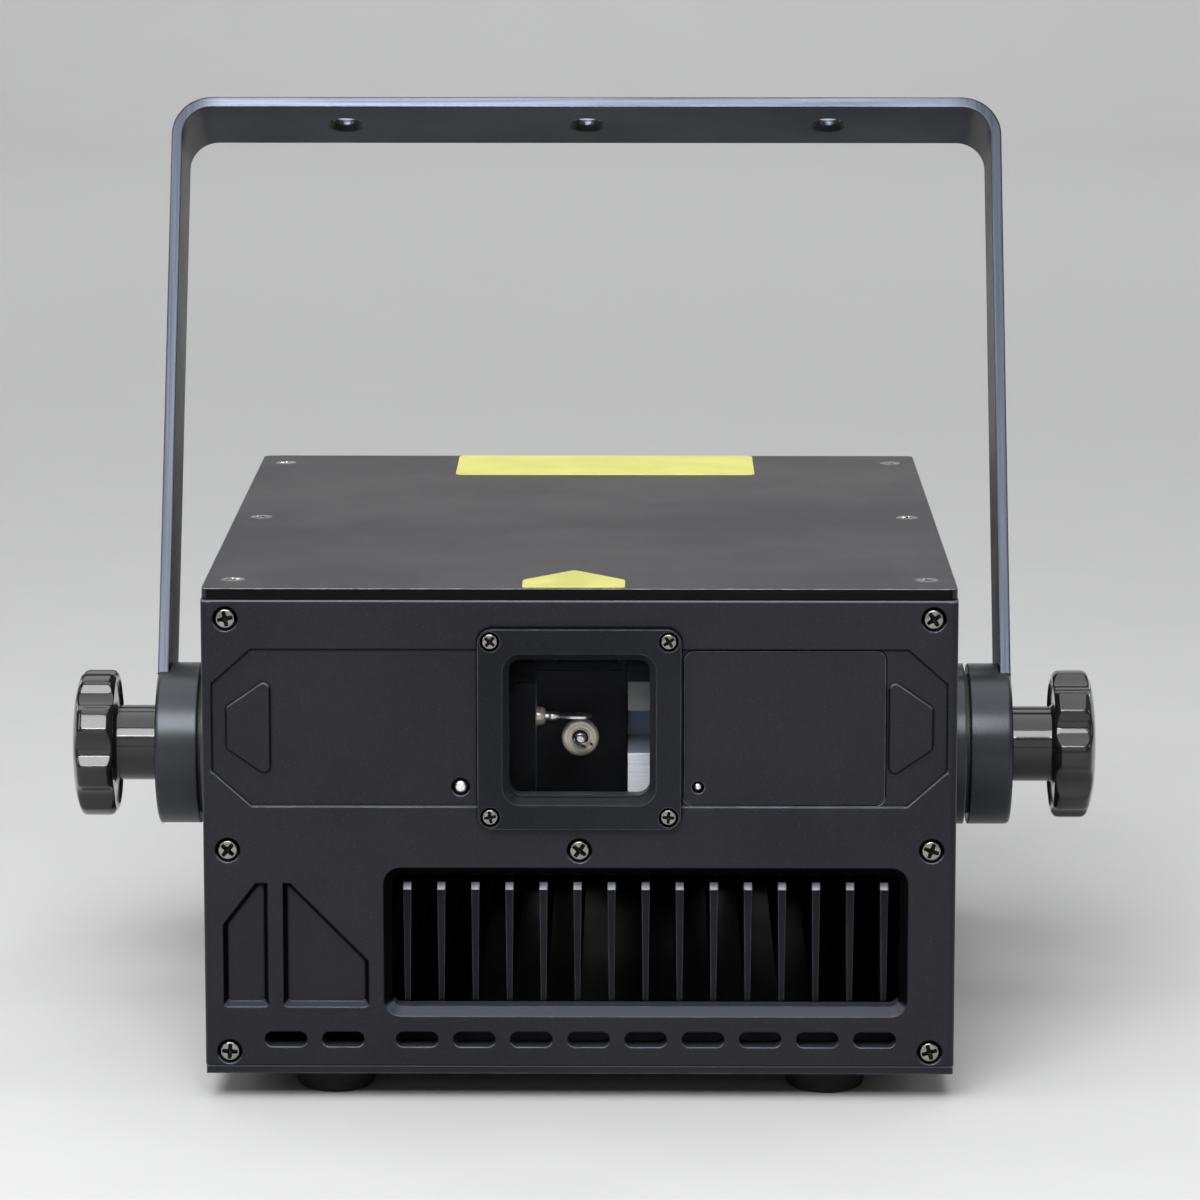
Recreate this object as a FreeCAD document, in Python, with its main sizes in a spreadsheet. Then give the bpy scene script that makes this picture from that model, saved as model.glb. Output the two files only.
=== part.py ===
import FreeCAD, Part
import os
import re
import Sketcher

# Laser show projector: a box housing that tilts in a flat bar yoke.
# Lengths in mm. +X is the right of someone facing the window, the front looks along -Y, +Z is up.
# The origin is the middle of the bounding box at the plane on which the feet stand.

os.makedirs("parts", exist_ok=True)
doc = FreeCAD.newDocument("laser_projector")

# Sizes

sizes = {
    # housing shell
    "body_width": 260,
    "body_depth": 320,
    "panel_tall": 164,
    "front_thick": 10,
    "rear_thick": 4,
    "wall_thick": 5,
    "base_thick": 3,
    "cover_thick": 4,
    "cover_inset": 1.5,
    "base_side_inset": 0.3,
    "cover_setback": 0.6,
    "edge_round": 2,
    "cutout_round": 0.5,
    "cover_corner": 3,
    "post_wide": 14,
    "post_deep": 20,
    "rail_wide": 13,
    "rail_tall": 8,
    "lug_wide": 13,
    "lug_deep": 16,
    "lug_tall": 14,
    # clearances
    "overrun": 1,
    "thread_gap": 0.05,
    "hole_gap": 0.25,
    "turn_gap": 0.3,
    "seam_gap": 0.3,
    # feet
    "foot_tall": 10,
    "foot_top_radius": 15.5,
    "foot_base_radius": 13.2,
    "foot_round": 4.8,
    "foot_inset": 44,
    "foot_inward": 24,
    "foot_sink": 5,
    "foot_head_radius": 3.9,
    "foot_head_tall": 2.6,
    # large screws of the panels
    "bolt_radius": 2,
    "bolt_long": 12,
    "head_radius": 3.95,
    "head_tall": 2.8,
    "head_room": 0.35,
    "bolt_inset": 8.5,
    "bolt_drop": 6.5,
    "bolt_rise": 4.9,
    "rear_bolt_share": 0.59,
    # countersunk screws of cover and base
    "sink_radius": 4.2,
    "sink_tall": 2.3,
    "sink_inset": 10,
    "sink_inward": 20,
    # window
    "window_share": 0.72805,
    "bezel_span": 70,
    "bezel_proud": 3,
    "bezel_round": 5,
    "bezel_bevel": 2.3,
    "opening_span": 48.4,
    "opening_round": 4,
    "glass_span": 55,
    "glass_thick": 3,
    "gasket_thick": 1,
    "bezel_bolt_spread": 30.7,
    "small_radius": 1.5,
    "small_long": 8,
    "small_head_radius": 3.1,
    "small_head_tall": 1.8,
    # shallow recess and raised islands
    "recess_deep": 1,
    "recess_half_tall": 27.6,
    "recess_inset": 3.3,
    "recess_corner_inset": 17,
    "recess_side_half_tall": 15.4,
    "island_inner_inset": 23.4,
    "island_outer_inset": 8.6,
    "island_inner_half_tall": 17.4,
    "island_outer_half_tall": 7.1,
    "island_round": 2,
    # flush cover plate on the right
    "plate_gap": 1,
    "plate_inset": 24.7,
    "plate_half_tall": 27,
    "plate_thick": 2,
    "plate_round": 3.5,
    # domed pins
    "pin_gap": 5.9,
    "pin_drop": 20.8,
    "left_pin_radius": 2.3,
    "left_pin_hole": 3.15,
    "right_pin_radius": 1.5,
    "right_pin_hole": 2.2,
    "pin_long": 4,
    "pin_sink": 4.4,
    "pin_dome": 1.3,
    # sunk decoration pockets, lower left
    "pocket_deep": 3,
    "pocket_draft": 25,
    "pocket_round": 1.5,
    "pocket_lift": 3.3,
    "pocket_drop": 5.6,
    "narrow_left_inset": 6.6,
    "narrow_peak_inset": 18,
    "narrow_right_inset": 22.1,
    "narrow_slope_tall": 14.7,
    "wide_left_inset": 27.4,
    "wide_peak_inset": 30,
    "wide_right_inset": 57,
    "wide_side_tall": 16.5,
    # heat sink opening and vent slots
    "vent_left_inset": 62.1,
    "vent_right_inset": 16.3,
    "vent_rise": 17.5,
    "vent_gap": 1,
    "vent_round": 6,
    "vent_bevel": 3,
    "slot_long_share": 0.7305,
    "slot_tall": 5.4,
    "slot_round": 2.5,
    "slot_rise": 9.3,
    "left_slot_inset": 28.1,
    "right_slot_inset": 73.6,
    "last_slot_inset": 27.6,
    "left_slot_count": 2,
    "right_slot_count": 9,
    # heat sink
    "sink_share": 0.43537,
    "sink_plate_thick": 10,
    "tongue_gap": 1,
    "fin_count": 15,
    "fin_margin": 7.9,
    "fin_top_thick": 3.1,
    "fin_tip_thick": 2,
    "fin_lift": 2.5,
    "fin_setback": 0.5,
    "fin_rear_gap": 65.5,
    "fin_bevel": 2.3,
    "fin_notch_tall": 8.9,
    "fin_notch_deep": 14,
    # optical bench
    "bench_thick": 6,
    "bench_side_gap": 5,
    "bench_front_gap": 12,
    "bench_rear_gap": 44,
    # pivot stack, distances out from the middle plane
    "collar_radius": 30,
    "collar_proud": 11.3,
    "spigot_radius": 15,
    "collar_bolt_spread": 15.5,
    "collar_bolt_radius": 2.5,
    "collar_head_radius": 4.25,
    "collar_head_tall": 5,
    "washer_radius": 26,
    "washer_thick": 1.6,
    "boss_radius": 30,
    "boss_round": 1.5,
    "stud_radius": 5,
    "stud_bite": 6,
    # yoke bar
    "arm_gap": 24.5,
    "yoke_rise": 249.5,
    "yoke_drop": 21,
    "bar_wide": 40,
    "bar_thick": 4,
    "bend_inner_radius": 11,
    "yoke_tilt": 25,
    "hang_hole_radius": 5.3,
    "hang_hole_across": 93,
    "hang_bevel": 2,
    # clamp knobs
    "knob_hub_radius": 14,
    "knob_hub_long": 15.6,
    "knob_rim_radius": 27.5,
    "knob_under_radius": 25.5,
    "knob_under_long": 1.5,
    "knob_rim_long": 11.3,
    "knob_dome_long": 2.6,
    "knob_dome_radius": 20,
    "knob_crown_long": 0.9,
    "knob_lobes": 8,
    "lobe_centre": 33.3,
    "lobe_radius": 8.6,
    "left_knob_turn": 26,
    "right_knob_turn": 5,
    # scanner
    "scan_drop": 12.2,
    "scan_axis_across": -0.2,
    "scan_face_back": 45,
    "galvo_radius": 6.6,
    "galvo_long": 30,
    "galvo_nose": 2.5,
    "scan_rise": 9.4,
    "scan_step": 8,
    "shaft_radius": 1.5,
    "front_shaft_long": 5,
    "front_mirror_long": 9,
    "front_mirror_wide": 4.4,
    "mirror_thick": 1,
    "mirror_tilt": 25,
    "side_face_across": -12.2,
    "side_boss_radius": 3.3,
    "side_boss_long": 3.2,
    "side_shaft_long": 4.2,
    "side_mirror_long": 14,
    "side_mirror_wide": 8,
    "shaft_bite": 2,
    "block_left": -34,
    "block_inner": -15.5,
    "block_right": 16.3,
    "block_over": 7.8,
    "block_wall_deep": 14,
    "block_front_gap": 12,
    "bore_gap": 0.05,
    "upright_left": 16.6,
    "upright_right": 27.5,
    "upright_over": 23.4,
    "upright_front_gap": 18,
    "upright_deep": 40,
    "beam_rise": 5.4,
    "beam_room": 7.5,
    "upright_web": 6,
    # lasers and beam mirrors
    "laser_inset": 22,
    "laser_long": 70,
    "laser_gap": 5,
    "laser_over": 11.8,
    "laser_first_share": 0.28,
    "laser_pitch_share": 0.14,
    "barrel_radius": 9,
    "barrel_long": 8,
    "mount_inset": 60,
    "mount_wide": 16,
    "beam_mirror_wide": 13,
    "beam_mirror_tall": 16,
    "beam_mirror_thick": 1.5,
    # supply and boards
    "supply_inset": 20,
    "supply_wide": 40,
    "supply_front_gap": 25,
    "supply_rear_gap": 96,
    "supply_top_gap": 11.4,
    "supply_bevel": 3,
    "board_gap": 4,
    "board_edge": 7,
    "board_middle": 12,
    "board_thick": 1.6,
    "standoff_radius": 3,
    "standoff_tall": 8,
    "standoff_inset": 5,
    "chip_wide": 24,
    "chip_tall": 5,
    "coil_radius": 7,
    "coil_tall": 14,
    "chip_inset": 14,
    # fans
    "fan_span": 60,
    "fan_thick": 25,
    "fan_bore_radius": 28.7,
    "fan_rise": 35,
    "left_fan_across": -12,
    "right_fan_across": 57,
    "fan_hub_radius": 13,
    "fan_blade_tip": 27.8,
    "fan_blade_count": 7,
    "fan_blade_thick": 1.4,
    "fan_blade_chord": 17,
    "fan_blade_pitch": 38,
    "fan_motor_thick": 4,
    "fan_rotor_long": 18,
    "strut_wide": 4,
    "fan_bolt_spread": 25,
    "guard_thick": 1.5,
    "guard_ring_wide": 2,
    "guard_ring_first": 8,
    "guard_ring_pitch": 6,
    "guard_ring_count": 4,
    "guard_bar_wide": 3,
    # rear sockets
    "flange_thick": 2.5,
    "inlet_inset": 40,
    "inlet_rise": 25,
    "inlet_flange_wide": 50,
    "inlet_flange_tall": 28,
    "inlet_body_wide": 30,
    "inlet_body_tall": 23,
    "inlet_body_deep": 26,
    "inlet_cavity_wide": 24.6,
    "inlet_cavity_tall": 17.2,
    "inlet_cavity_deep": 16.5,
    "blade_wide": 2,
    "blade_tall": 4,
    "blade_long": 13,
    "blade_spread": 7,
    "inlet_bolt_spread": 20,
    "rocker_lift": 28,
    "rocker_flange_wide": 26,
    "rocker_flange_tall": 18,
    "rocker_cavity_wide": 19,
    "rocker_cavity_tall": 12.4,
    "rocker_body_deep": 14,
    "rocker_wall": 1.5,
    "rocker_half_long": 8,
    "rocker_wide": 11.6,
    "rocker_proud": 3.2,
    "rocker_dip": 2.3,
    "rocker_back": 5,
    "rocker_foot": 3,
    "socket_drop": 27,
    "signal_in_inset": 35,
    "signal_out_inset": 70,
    "signal_flange_wide": 26,
    "signal_flange_tall": 31,
    "signal_shell_radius": 11.8,
    "signal_cavity_radius": 9.6,
    "signal_shell_deep": 24,
    "signal_cavity_deep": 14,
    "contact_radius": 1.2,
    "contact_long": 10,
    "contact_ring": 4.8,
    "signal_bolt_across": 9.5,
    "signal_bolt_rise": 12,
    "data_across": 3,
    "data_flange_wide": 53,
    "data_flange_tall": 13,
    "data_flange_thick": 1.2,
    "data_shell_top": 39.5,
    "data_shell_low": 35.5,
    "data_shell_tall": 9.4,
    "data_shell_proud": 5.8,
    "data_cavity_inset": 1,
    "data_body_deep": 9,
    "data_post_radius": 2.5,
    "data_post_spread": 23.5,
    "lock_inset": 42,
    "lock_gap": 0.1,
    "lock_ring_radius": 11,
    "lock_ring_proud": 3,
    "lock_body_radius": 9,
    "lock_body_deep": 24,
    "barrel_key_radius": 6,
    "barrel_key_deep": 20,
    "key_slot_wide": 2,
    "key_slot_tall": 8,
    "key_slot_deep": 10,
    "link_inset": 70,
    "link_ring_radius": 7,
    "link_ring_proud": 2.5,
    "link_body_radius": 5.5,
    "link_body_deep": 20,
    "link_hole_radius": 3.2,
    "link_hole_deep": 15,
    # menu
    "display_inset": 55,
    "menu_share": 0.6037,
    "display_wide": 50,
    "display_tall": 20,
    "menu_board_gap": 5,
    "menu_board_wide": 140,
    "menu_board_tall": 28,
    "menu_board_edge": 8,
    "menu_board_thick": 1.6,
    "menu_post_radius": 2.5,
    "button_lead": 16,
    "button_pitch": 18,
    "button_radius": 4,
    "button_proud": 2,
    "button_rim_radius": 5,
    "button_rim_thick": 1.2,
    # safety cable bridge
    "bridge_inset": 42,
    "bridge_span": 26,
    "bridge_foot": 12,
    "bridge_wide": 14,
    "bridge_thick": 3,
    "bridge_rise": 12,
}

# Places that follow from the sizes

places = {
    "half_width": "(body_width / 2)",
    "base_top": "(foot_tall + base_thick)",
    "ceiling": "(base_top + panel_tall)",
    "cover_top": "(ceiling + cover_thick)",
    "front": "((bezel_proud - bridge_rise - body_depth) / 2)",
    "rear": "(front + body_depth)",
    "panel_back": "(front + front_thick)",
    "rear_inner": "(rear - rear_thick)",
    "wall_inner": "(half_width - wall_thick)",
    "post_inner": "(half_width - post_wide)",
    "pivot_y": "(front + body_depth / 2)",
    "pivot_z": "((foot_tall + cover_top) / 2)",
    # screws and feet
    "foot_across": "(half_width - foot_inset)",
    "sink_across": "(half_width - sink_inset)",
    "bolt_across": "(half_width - bolt_inset)",
    "bolt_top": "(ceiling - bolt_drop)",
    "bolt_middle": "(sink_plate_low + sink_plate_thick / 2)",
    "bolt_low": "(base_top + bolt_rise)",
    "rear_bolt_middle": "(base_top + rear_bolt_share * panel_tall)",
    # front panel
    "window_height": "(base_top + window_share * panel_tall)",
    "recess_side": "(half_width - recess_inset)",
    "recess_corner": "(half_width - recess_corner_inset)",
    "island_inner": "(half_width - island_inner_inset)",
    "island_outer": "(half_width - island_outer_inset)",
    "plate_left": "(bezel_span / 2 + plate_gap)",
    "plate_right": "(half_width - plate_inset)",
    "pin_across": "(bezel_span / 2 + pin_gap)",
    "pin_height": "(window_height - pin_drop)",
    "vent_left": "(vent_left_inset - half_width)",
    "vent_right": "(half_width - vent_right_inset)",
    "vent_low": "(base_top + vent_rise)",
    "vent_high": "(sink_plate_low - vent_gap)",
    "pocket_low": "(vent_low + pocket_lift)",
    "pocket_high": "(vent_high - pocket_drop)",
    "narrow_left": "(narrow_left_inset - half_width)",
    "narrow_peak": "(narrow_peak_inset - half_width)",
    "narrow_right": "(narrow_right_inset - half_width)",
    "narrow_shoulder": "(pocket_high - narrow_slope_tall)",
    "wide_left": "(wide_left_inset - half_width)",
    "wide_peak": "(wide_peak_inset - half_width)",
    "wide_right": "(wide_right_inset - half_width)",
    "wide_shoulder": "(pocket_low + wide_side_tall)",
    "slot_height": "(base_top + slot_rise)",
    "slot_pitch": "((body_width - right_slot_inset - last_slot_inset) / (right_slot_count - 1))",
    "slot_long": "(slot_long_share * slot_pitch)",
    "left_slot_start": "(left_slot_inset - half_width)",
    "right_slot_start": "(right_slot_inset - half_width)",
    # heat sink and bench
    "sink_plate_low": "(base_top + sink_share * panel_tall)",
    "plate_top": "(sink_plate_low + sink_plate_thick)",
    "tongue_half_wide": "(post_inner - tongue_gap)",
    "fin_first": "(vent_left + fin_margin)",
    "fin_pitch": "((vent_right - vent_left - 2 * fin_margin) / (fin_count - 1))",
    "fin_low": "(vent_low + fin_lift)",
    "fin_front": "(panel_back + fin_setback)",
    "fin_top": "(sink_plate_low - fin_notch_tall)",
    "fin_end": "(rear_inner - fin_rear_gap)",
    "bench_top": "(plate_top + bench_thick)",
    "bench_front": "(panel_back + bench_front_gap)",
    "bench_end": "(rear_inner - bench_rear_gap)",
    "bench_half_wide": "(post_inner - bench_side_gap)",
    # pivot stack, yoke and knobs
    "collar_face": "(half_width + collar_proud)",
    "spigot_end": "(wall_inner + seam_gap)",
    "boss_face": "(collar_face + washer_thick)",
    "arm_inner": "(half_width + arm_gap)",
    "yoke_half_wide": "(arm_inner + bar_thick)",
    "knob_face": "(yoke_half_wide + turn_gap)",
    "knob_under": "(knob_face + knob_hub_long)",
    "knob_rim": "(knob_under + knob_under_long)",
    "knob_dome": "(knob_rim + knob_rim_long)",
    "knob_crown": "(knob_dome + knob_dome_long)",
    "stud_inner_end": "(spigot_end + turn_gap)",
    "stud_outer_end": "(knob_rim + stud_bite)",
    # scanner and lasers
    "scan_axis_height": "(window_height - scan_drop)",
    "scan_y": "(front + scan_face_back)",
    "side_y": "(scan_y - scan_step)",
    "side_z": "(scan_axis_height + scan_rise)",
    "nose_y": "(scan_y + galvo_nose)",
    "block_front": "(panel_back + block_front_gap)",
    "block_top": "(side_z + galvo_radius + block_over)",
    "upright_front": "(panel_back + upright_front_gap)",
    "upright_top": "(scan_axis_height + upright_over)",
    "beam_height": "(scan_axis_height + beam_rise)",
    "laser_left": "(laser_inset - half_width)",
    "laser_first": "(laser_first_share * body_depth)",
    "laser_pitch": "(laser_pitch_share * body_depth)",
    "laser_wide": "(laser_pitch - laser_gap)",
    "laser_top": "(beam_height + laser_over)",
    "mount_across": "(half_width - mount_inset)",
    "mount_top": "(beam_height - beam_mirror_tall / 2)",
    # supply and boards
    "supply_left": "(supply_inset - half_width)",
    "supply_right": "(supply_left + supply_wide)",
    "supply_front": "(panel_back + supply_front_gap)",
    "supply_end": "(rear_inner - supply_rear_gap)",
    "supply_top": "(sink_plate_low - supply_top_gap)",
    "board_front": "(front + laser_first + 2 * laser_pitch + laser_wide / 2 + board_gap)",
    "board_end": "(bench_end - board_edge)",
    "board_deep": "(board_end - board_front)",
    "board_wide": "(bench_half_wide - board_edge - board_middle)",
    "control_left": "(board_edge - bench_half_wide)",
    "driver_left": "(board_middle)",
    "board_low": "(bench_top + standoff_tall)",
    "board_high": "(board_low + board_thick)",
    # rear panel
    "fan_height": "(base_top + fan_rise)",
    "fan_inner": "(rear_inner - fan_thick)",
    "flange_end": "(rear + flange_thick)",
    "inlet_across": "(inlet_inset - half_width)",
    "inlet_height": "(base_top + inlet_rise)",
    "rocker_height": "(inlet_height + rocker_lift)",
    "socket_height": "(ceiling - socket_drop)",
    "signal_in_across": "(signal_in_inset - half_width)",
    "signal_out_across": "(signal_out_inset - half_width)",
    "lock_across": "(half_width - lock_inset)",
    "link_across": "(half_width - link_inset)",
    "menu_height": "(base_top + menu_share * panel_tall)",
    "display_across": "(display_inset - half_width)",
    "menu_board_left": "(display_across - display_wide / 2 - menu_board_edge)",
    "button_first": "(display_across + display_wide / 2 + button_lead)",
    "bridge_across": "(half_width - bridge_inset)",
    "bridge_out": "(rear + bridge_rise)",
    "bridge_in": "(bridge_out - bridge_thick)",
}



# Sheets, and helpers that tie document objects to them

def formula(text, own=""):
    """The text with each name pointed at its sheet, unless it stands in the sheet named own."""
    def pointed(word):
        for sheet, names in (("sizes", sizes), ("places", places)):
            if word[0] in names and sheet != own:
                return f"{sheet}.{word[0]}"
        return word[0]
    return re.sub(r"[a-z_]+", pointed, str(text))


def fill(name, cells):
    sheet = doc.addObject("Spreadsheet::Sheet", name)
    for row, (alias, content) in enumerate(cells.items(), start=1):
        sheet.set(f"A{row}", content)
        sheet.setAlias(f"A{row}", alias)


fill("sizes", {alias: str(number) for alias, number in sizes.items()})
fill("places", {alias: "=" + formula(text, "places") for alias, text in places.items()})
working = doc.addObject("Spreadsheet::Sheet", "working")
doc.recompute()


def value(text):
    working.set("A1", "=" + formula(text))
    working.recompute()
    return float(working.get("A1"))


def bind(item, **bound):
    for name, text in bound.items():
        item.setExpression(name, formula(text))
    return item


def place(item, x, y, z):
    for name, text in (("x", x), ("y", y), ("z", z)):
        item.setExpression(f"Placement.Base.{name}", formula(text))
    return item


turns = {
    "X": FreeCAD.Rotation(FreeCAD.Vector(0, 1, 0), 90),
    "Y": FreeCAD.Rotation(FreeCAD.Vector(1, 0, 0), -90),
    "Z": FreeCAD.Rotation(),
}


def box(name, x, y, z):
    """A block between two formulas along each axis."""
    item = doc.addObject("Part::Box", name)
    length, width, height = (f"({high}) - ({low})" for low, high in (x, y, z))
    bind(item, Length=length, Width=width, Height=height)
    return place(item, x[0], y[0], z[0])


def rod(name, axis, start, radius, length):
    """A round bar from its start point along +axis."""
    item = doc.addObject("Part::Cylinder", name)
    item.Placement = FreeCAD.Placement(FreeCAD.Vector(), turns[axis])
    bind(item, Radius=radius, Height=length)
    return place(item, *start)


def cone(name, axis, start, first_radius, last_radius, length):
    item = doc.addObject("Part::Cone", name)
    item.Placement = FreeCAD.Placement(FreeCAD.Vector(), turns[axis])
    bind(item, Radius1=first_radius, Radius2=last_radius, Height=length)
    return place(item, *start)


def group(name, items):
    """Alike pieces that share one node, each still its own solid."""
    item = doc.addObject("Part::Compound", name)
    item.Links = items
    return item


def fuse(name, items):
    item = doc.addObject("Part::MultiFuse", name)
    item.Shapes = items
    item.Refine = True
    return item


def cut(name, base, tools):
    item = doc.addObject("Part::Cut", name)
    item.Base = base
    item.Tool = tools[0] if len(tools) == 1 else group(name + "_tools", tools)
    return item


def soften(name, base, radius, wanted):
    """Rounds the edges of a plain solid for which wanted(edge) holds."""
    doc.recompute()
    reach = value(radius)
    item = doc.addObject("Part::Fillet", name)
    item.Base = base
    edges = enumerate(base.Shape.Edges, start=1)
    item.Edges = [(number, reach, reach) for number, edge in edges if wanted(edge)]
    return item


def sided(sign, near, far):
    """Low and high ends of a span measured outward from the middle plane."""
    return (near, far) if sign > 0 else (f"-{far}", f"-{near}")


def along(edge, axis):
    direction = edge.Vertexes[-1].Point - edge.Vertexes[0].Point
    flat = [abs(direction[other]) < 1e-6 for other in range(3) if other != axis]
    return all(flat) and direction.Length > 1e-6


def at(point, axis, text):
    return abs(point[axis] - value(text)) < 1e-4


# Helpers for bodies made from sketches

def origin_feature(body, role):
    return [item for item in body.Origin.OriginFeatures if item.Role == role][0]


def tie(item, kind, first, second, text):
    """Holds a point of the sketch at a distance from the sketch origin."""
    number = item.addConstraint(Sketcher.Constraint(kind, -1, 1, first, second, value(text)))
    item.setExpression(f"Constraints[{number}]", formula(text))


def draw_polygon(item, points):
    start = item.GeometryCount
    count = len(points)
    corners = [FreeCAD.Vector(value(x), value(y), 0) for x, y in points]
    for step in range(count):
        item.addGeometry(Part.LineSegment(corners[step], corners[(step + 1) % count]), False)
    for step in range(count):
        following = start + (step + 1) % count
        item.addConstraint(Sketcher.Constraint("Coincident", start + step, 2, following, 1))
    for step, (x, y) in enumerate(points):
        tie(item, "DistanceX", start + step, 1, x)
        tie(item, "DistanceY", start + step, 1, y)


def draw_circle(item, x, y, radius):
    centre = FreeCAD.Vector(value(x), value(y), 0)
    number = item.addGeometry(Part.Circle(centre, FreeCAD.Vector(0, 0, 1), value(radius)), False)
    tie(item, "DistanceX", number, 3, x)
    tie(item, "DistanceY", number, 3, y)
    limit = item.addConstraint(Sketcher.Constraint("Radius", number, value(radius)))
    item.setExpression(f"Constraints[{limit}]", formula(radius))


def draw_round(item, left, right, low, high, radius):
    """A rectangle with rounded corners: four lines and the four arcs between them."""
    start = item.GeometryCount
    x0, x1, y0, y1, r = (value(text) for text in (left, right, low, high, radius))
    spots = ((x0 + r, y0), (x1 - r, y0), (x1, y0 + r), (x1, y1 - r),
             (x1 - r, y1), (x0 + r, y1), (x0, y1 - r), (x0, y0 + r))
    spots = [FreeCAD.Vector(x, y, 0) for x, y in spots]
    centres = ((x1 - r, y0 + r), (x1 - r, y1 - r), (x0 + r, y1 - r), (x0 + r, y0 + r))
    quarter = FreeCAD.Rotation(FreeCAD.Vector(0, 0, 1), 45)
    for side in range(4):
        item.addGeometry(Part.LineSegment(spots[2 * side], spots[2 * side + 1]), False)
        centre = FreeCAD.Vector(*centres[side], 0)
        begin, end = spots[2 * side + 1], spots[(2 * side + 2) % 8]
        item.addGeometry(Part.Arc(begin, centre + quarter.multVec(begin - centre), end), False)
    for side in range(4):
        line, arc, following = start + 2 * side, start + 2 * side + 1, start + (2 * side + 2) % 8
        item.addConstraint(Sketcher.Constraint("Tangent", line, 2, arc, 1))
        item.addConstraint(Sketcher.Constraint("Tangent", arc, 2, following, 1))
        item.addConstraint(Sketcher.Constraint("Vertical" if side % 2 else "Horizontal", line))
    for side in range(1, 4):
        item.addConstraint(Sketcher.Constraint("Equal", start + 1, start + 2 * side + 1))
    limit = item.addConstraint(Sketcher.Constraint("Radius", start + 1, r))
    item.setExpression(f"Constraints[{limit}]", formula(radius))
    tie(item, "DistanceY", start, 1, low)
    tie(item, "DistanceX", start + 2, 1, right)
    tie(item, "DistanceY", start + 4, 1, high)
    tie(item, "DistanceX", start + 6, 1, left)


def sketch(body, name, role, offset, polygons=(), circles=(), rounds=()):
    item = body.newObject("Sketcher::SketchObject", name)
    item.AttachmentSupport = (origin_feature(body, role), "")
    item.MapMode = "FlatFace"
    item.setExpression("AttachmentOffset.Base.z", formula(offset))
    for points in polygons:
        draw_polygon(item, points)
    for circle in circles:
        draw_circle(item, *circle)
    for loop in rounds:
        draw_round(item, *loop)
    return item


def new_body(name):
    return doc.addObject("PartDesign::Body", name)


def pad(body, name, profile, length, backward=False, centred=False):
    item = body.newObject("PartDesign::Pad", name)
    item.Profile = profile
    item.Reversed = backward
    if centred:
        item.SideType = "Symmetric"
    bind(item, Length=length)
    return item


def pocket(body, name, profile, length, backward=False, centred=False):
    item = body.newObject("PartDesign::Pocket", name)
    item.Profile = profile
    item.Reversed = backward
    if centred:
        item.SideType = "Symmetric"
    bind(item, Length=length)
    return item


def dress(body, kind, name, size, wanted):
    """Rounds (Fillet) or bevels (Chamfer) the wanted edges of the body so far."""
    doc.recompute()
    before = body.Tip
    edges = enumerate(before.Shape.Edges, start=1)
    names = [f"Edge{number}" for number, edge in edges if wanted(edge)]
    item = body.newObject(f"PartDesign::{kind}", name)
    item.Base = (before, names)
    bind(item, **{"Radius" if kind == "Fillet" else "Size": size})
    return item


def slab(name, role, offset, length, backward=False, **loops):
    """A body with one sketch and one pad."""
    body = new_body(name)
    profile = sketch(body, name + "_outline", role, offset, **loops)
    pad(body, name + "_pad", profile, length, backward)
    return body


def spun(name, points):
    """A body turned about its own X axis from (distance along, radius) points."""
    body = new_body(name)
    profile = sketch(body, name + "_profile", "XZ_Plane", "0", polygons=[points])
    item = body.newObject("PartDesign::Revolution", name + "_turned")
    item.Profile = profile
    item.ReferenceAxis = (profile, ["H_Axis"])
    item.Angle = 360
    return body


nodes = []


def keep(item):
    nodes.append(item)
    return item


def headed(name, axis, start, sign, radius, length, head_radius, head_tall):
    """A screw: its shank runs inward (sign) from start, its head stands the other way."""
    spot = {"X": 0, "Y": 1, "Z": 2}[axis]
    low = list(start)
    tail = list(start)
    if sign > 0:
        low[spot] = f"{start[spot]} - {head_tall}"
    else:
        tail[spot] = f"{start[spot]} - {length}"
    head = rod(name + "_head", axis, low, head_radius, head_tall)
    shank = rod(name + "_shank", axis, tail, radius, length)
    return fuse(name, [head, shank])


# Rows of screws

both_sides = (("left", -1), ("right", 1))
panel_bolt_heights = ("bolt_top", "bolt_middle", "bolt_low")
rear_bolt_heights = ("bolt_top", "rear_bolt_middle", "bolt_low")
ends = ("(front + sink_inward)", "(rear - sink_inward)")

# Base plate, walls and posts

base_inset = "(half_width - base_side_inset)"
base_span = (f"-{base_inset}", base_inset)
depth_span = ("(front + cover_setback)", "(rear - cover_setback)")
foot_spots = [(f"({side} * foot_across)", y)
              for side in (-1, 1) for y in ("(front + foot_inward)", "(rear - foot_inward)")]
sink_spots = [(f"({side} * sink_across)", y) for side in (-1, 1) for y in ends]
cover_spots = sink_spots + [(f"({side} * sink_across)", "pivot_y") for side in (-1, 1)]

base_blank = box("base_blank", base_span, depth_span, ("foot_tall", "base_top"))
base_holes = [rod(f"base_foot_hole_{n}", "Z", (x, y, "foot_tall - overrun"),
                  "bolt_radius + thread_gap", "base_thick + 2 * overrun")
              for n, (x, y) in enumerate(foot_spots)]
for n, (x, y) in enumerate(sink_spots):
    base_holes.append(cone(f"base_sink_{n}", "Z", (x, y, "foot_tall"), "sink_radius + hole_gap",
                           "bolt_radius + hole_gap", "sink_tall"))
    base_holes.append(rod(f"base_hole_{n}", "Z", (x, y, "foot_tall + sink_tall"),
                          "bolt_radius + hole_gap", "base_thick"))
keep(cut("base_plate", base_blank, base_holes))

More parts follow.
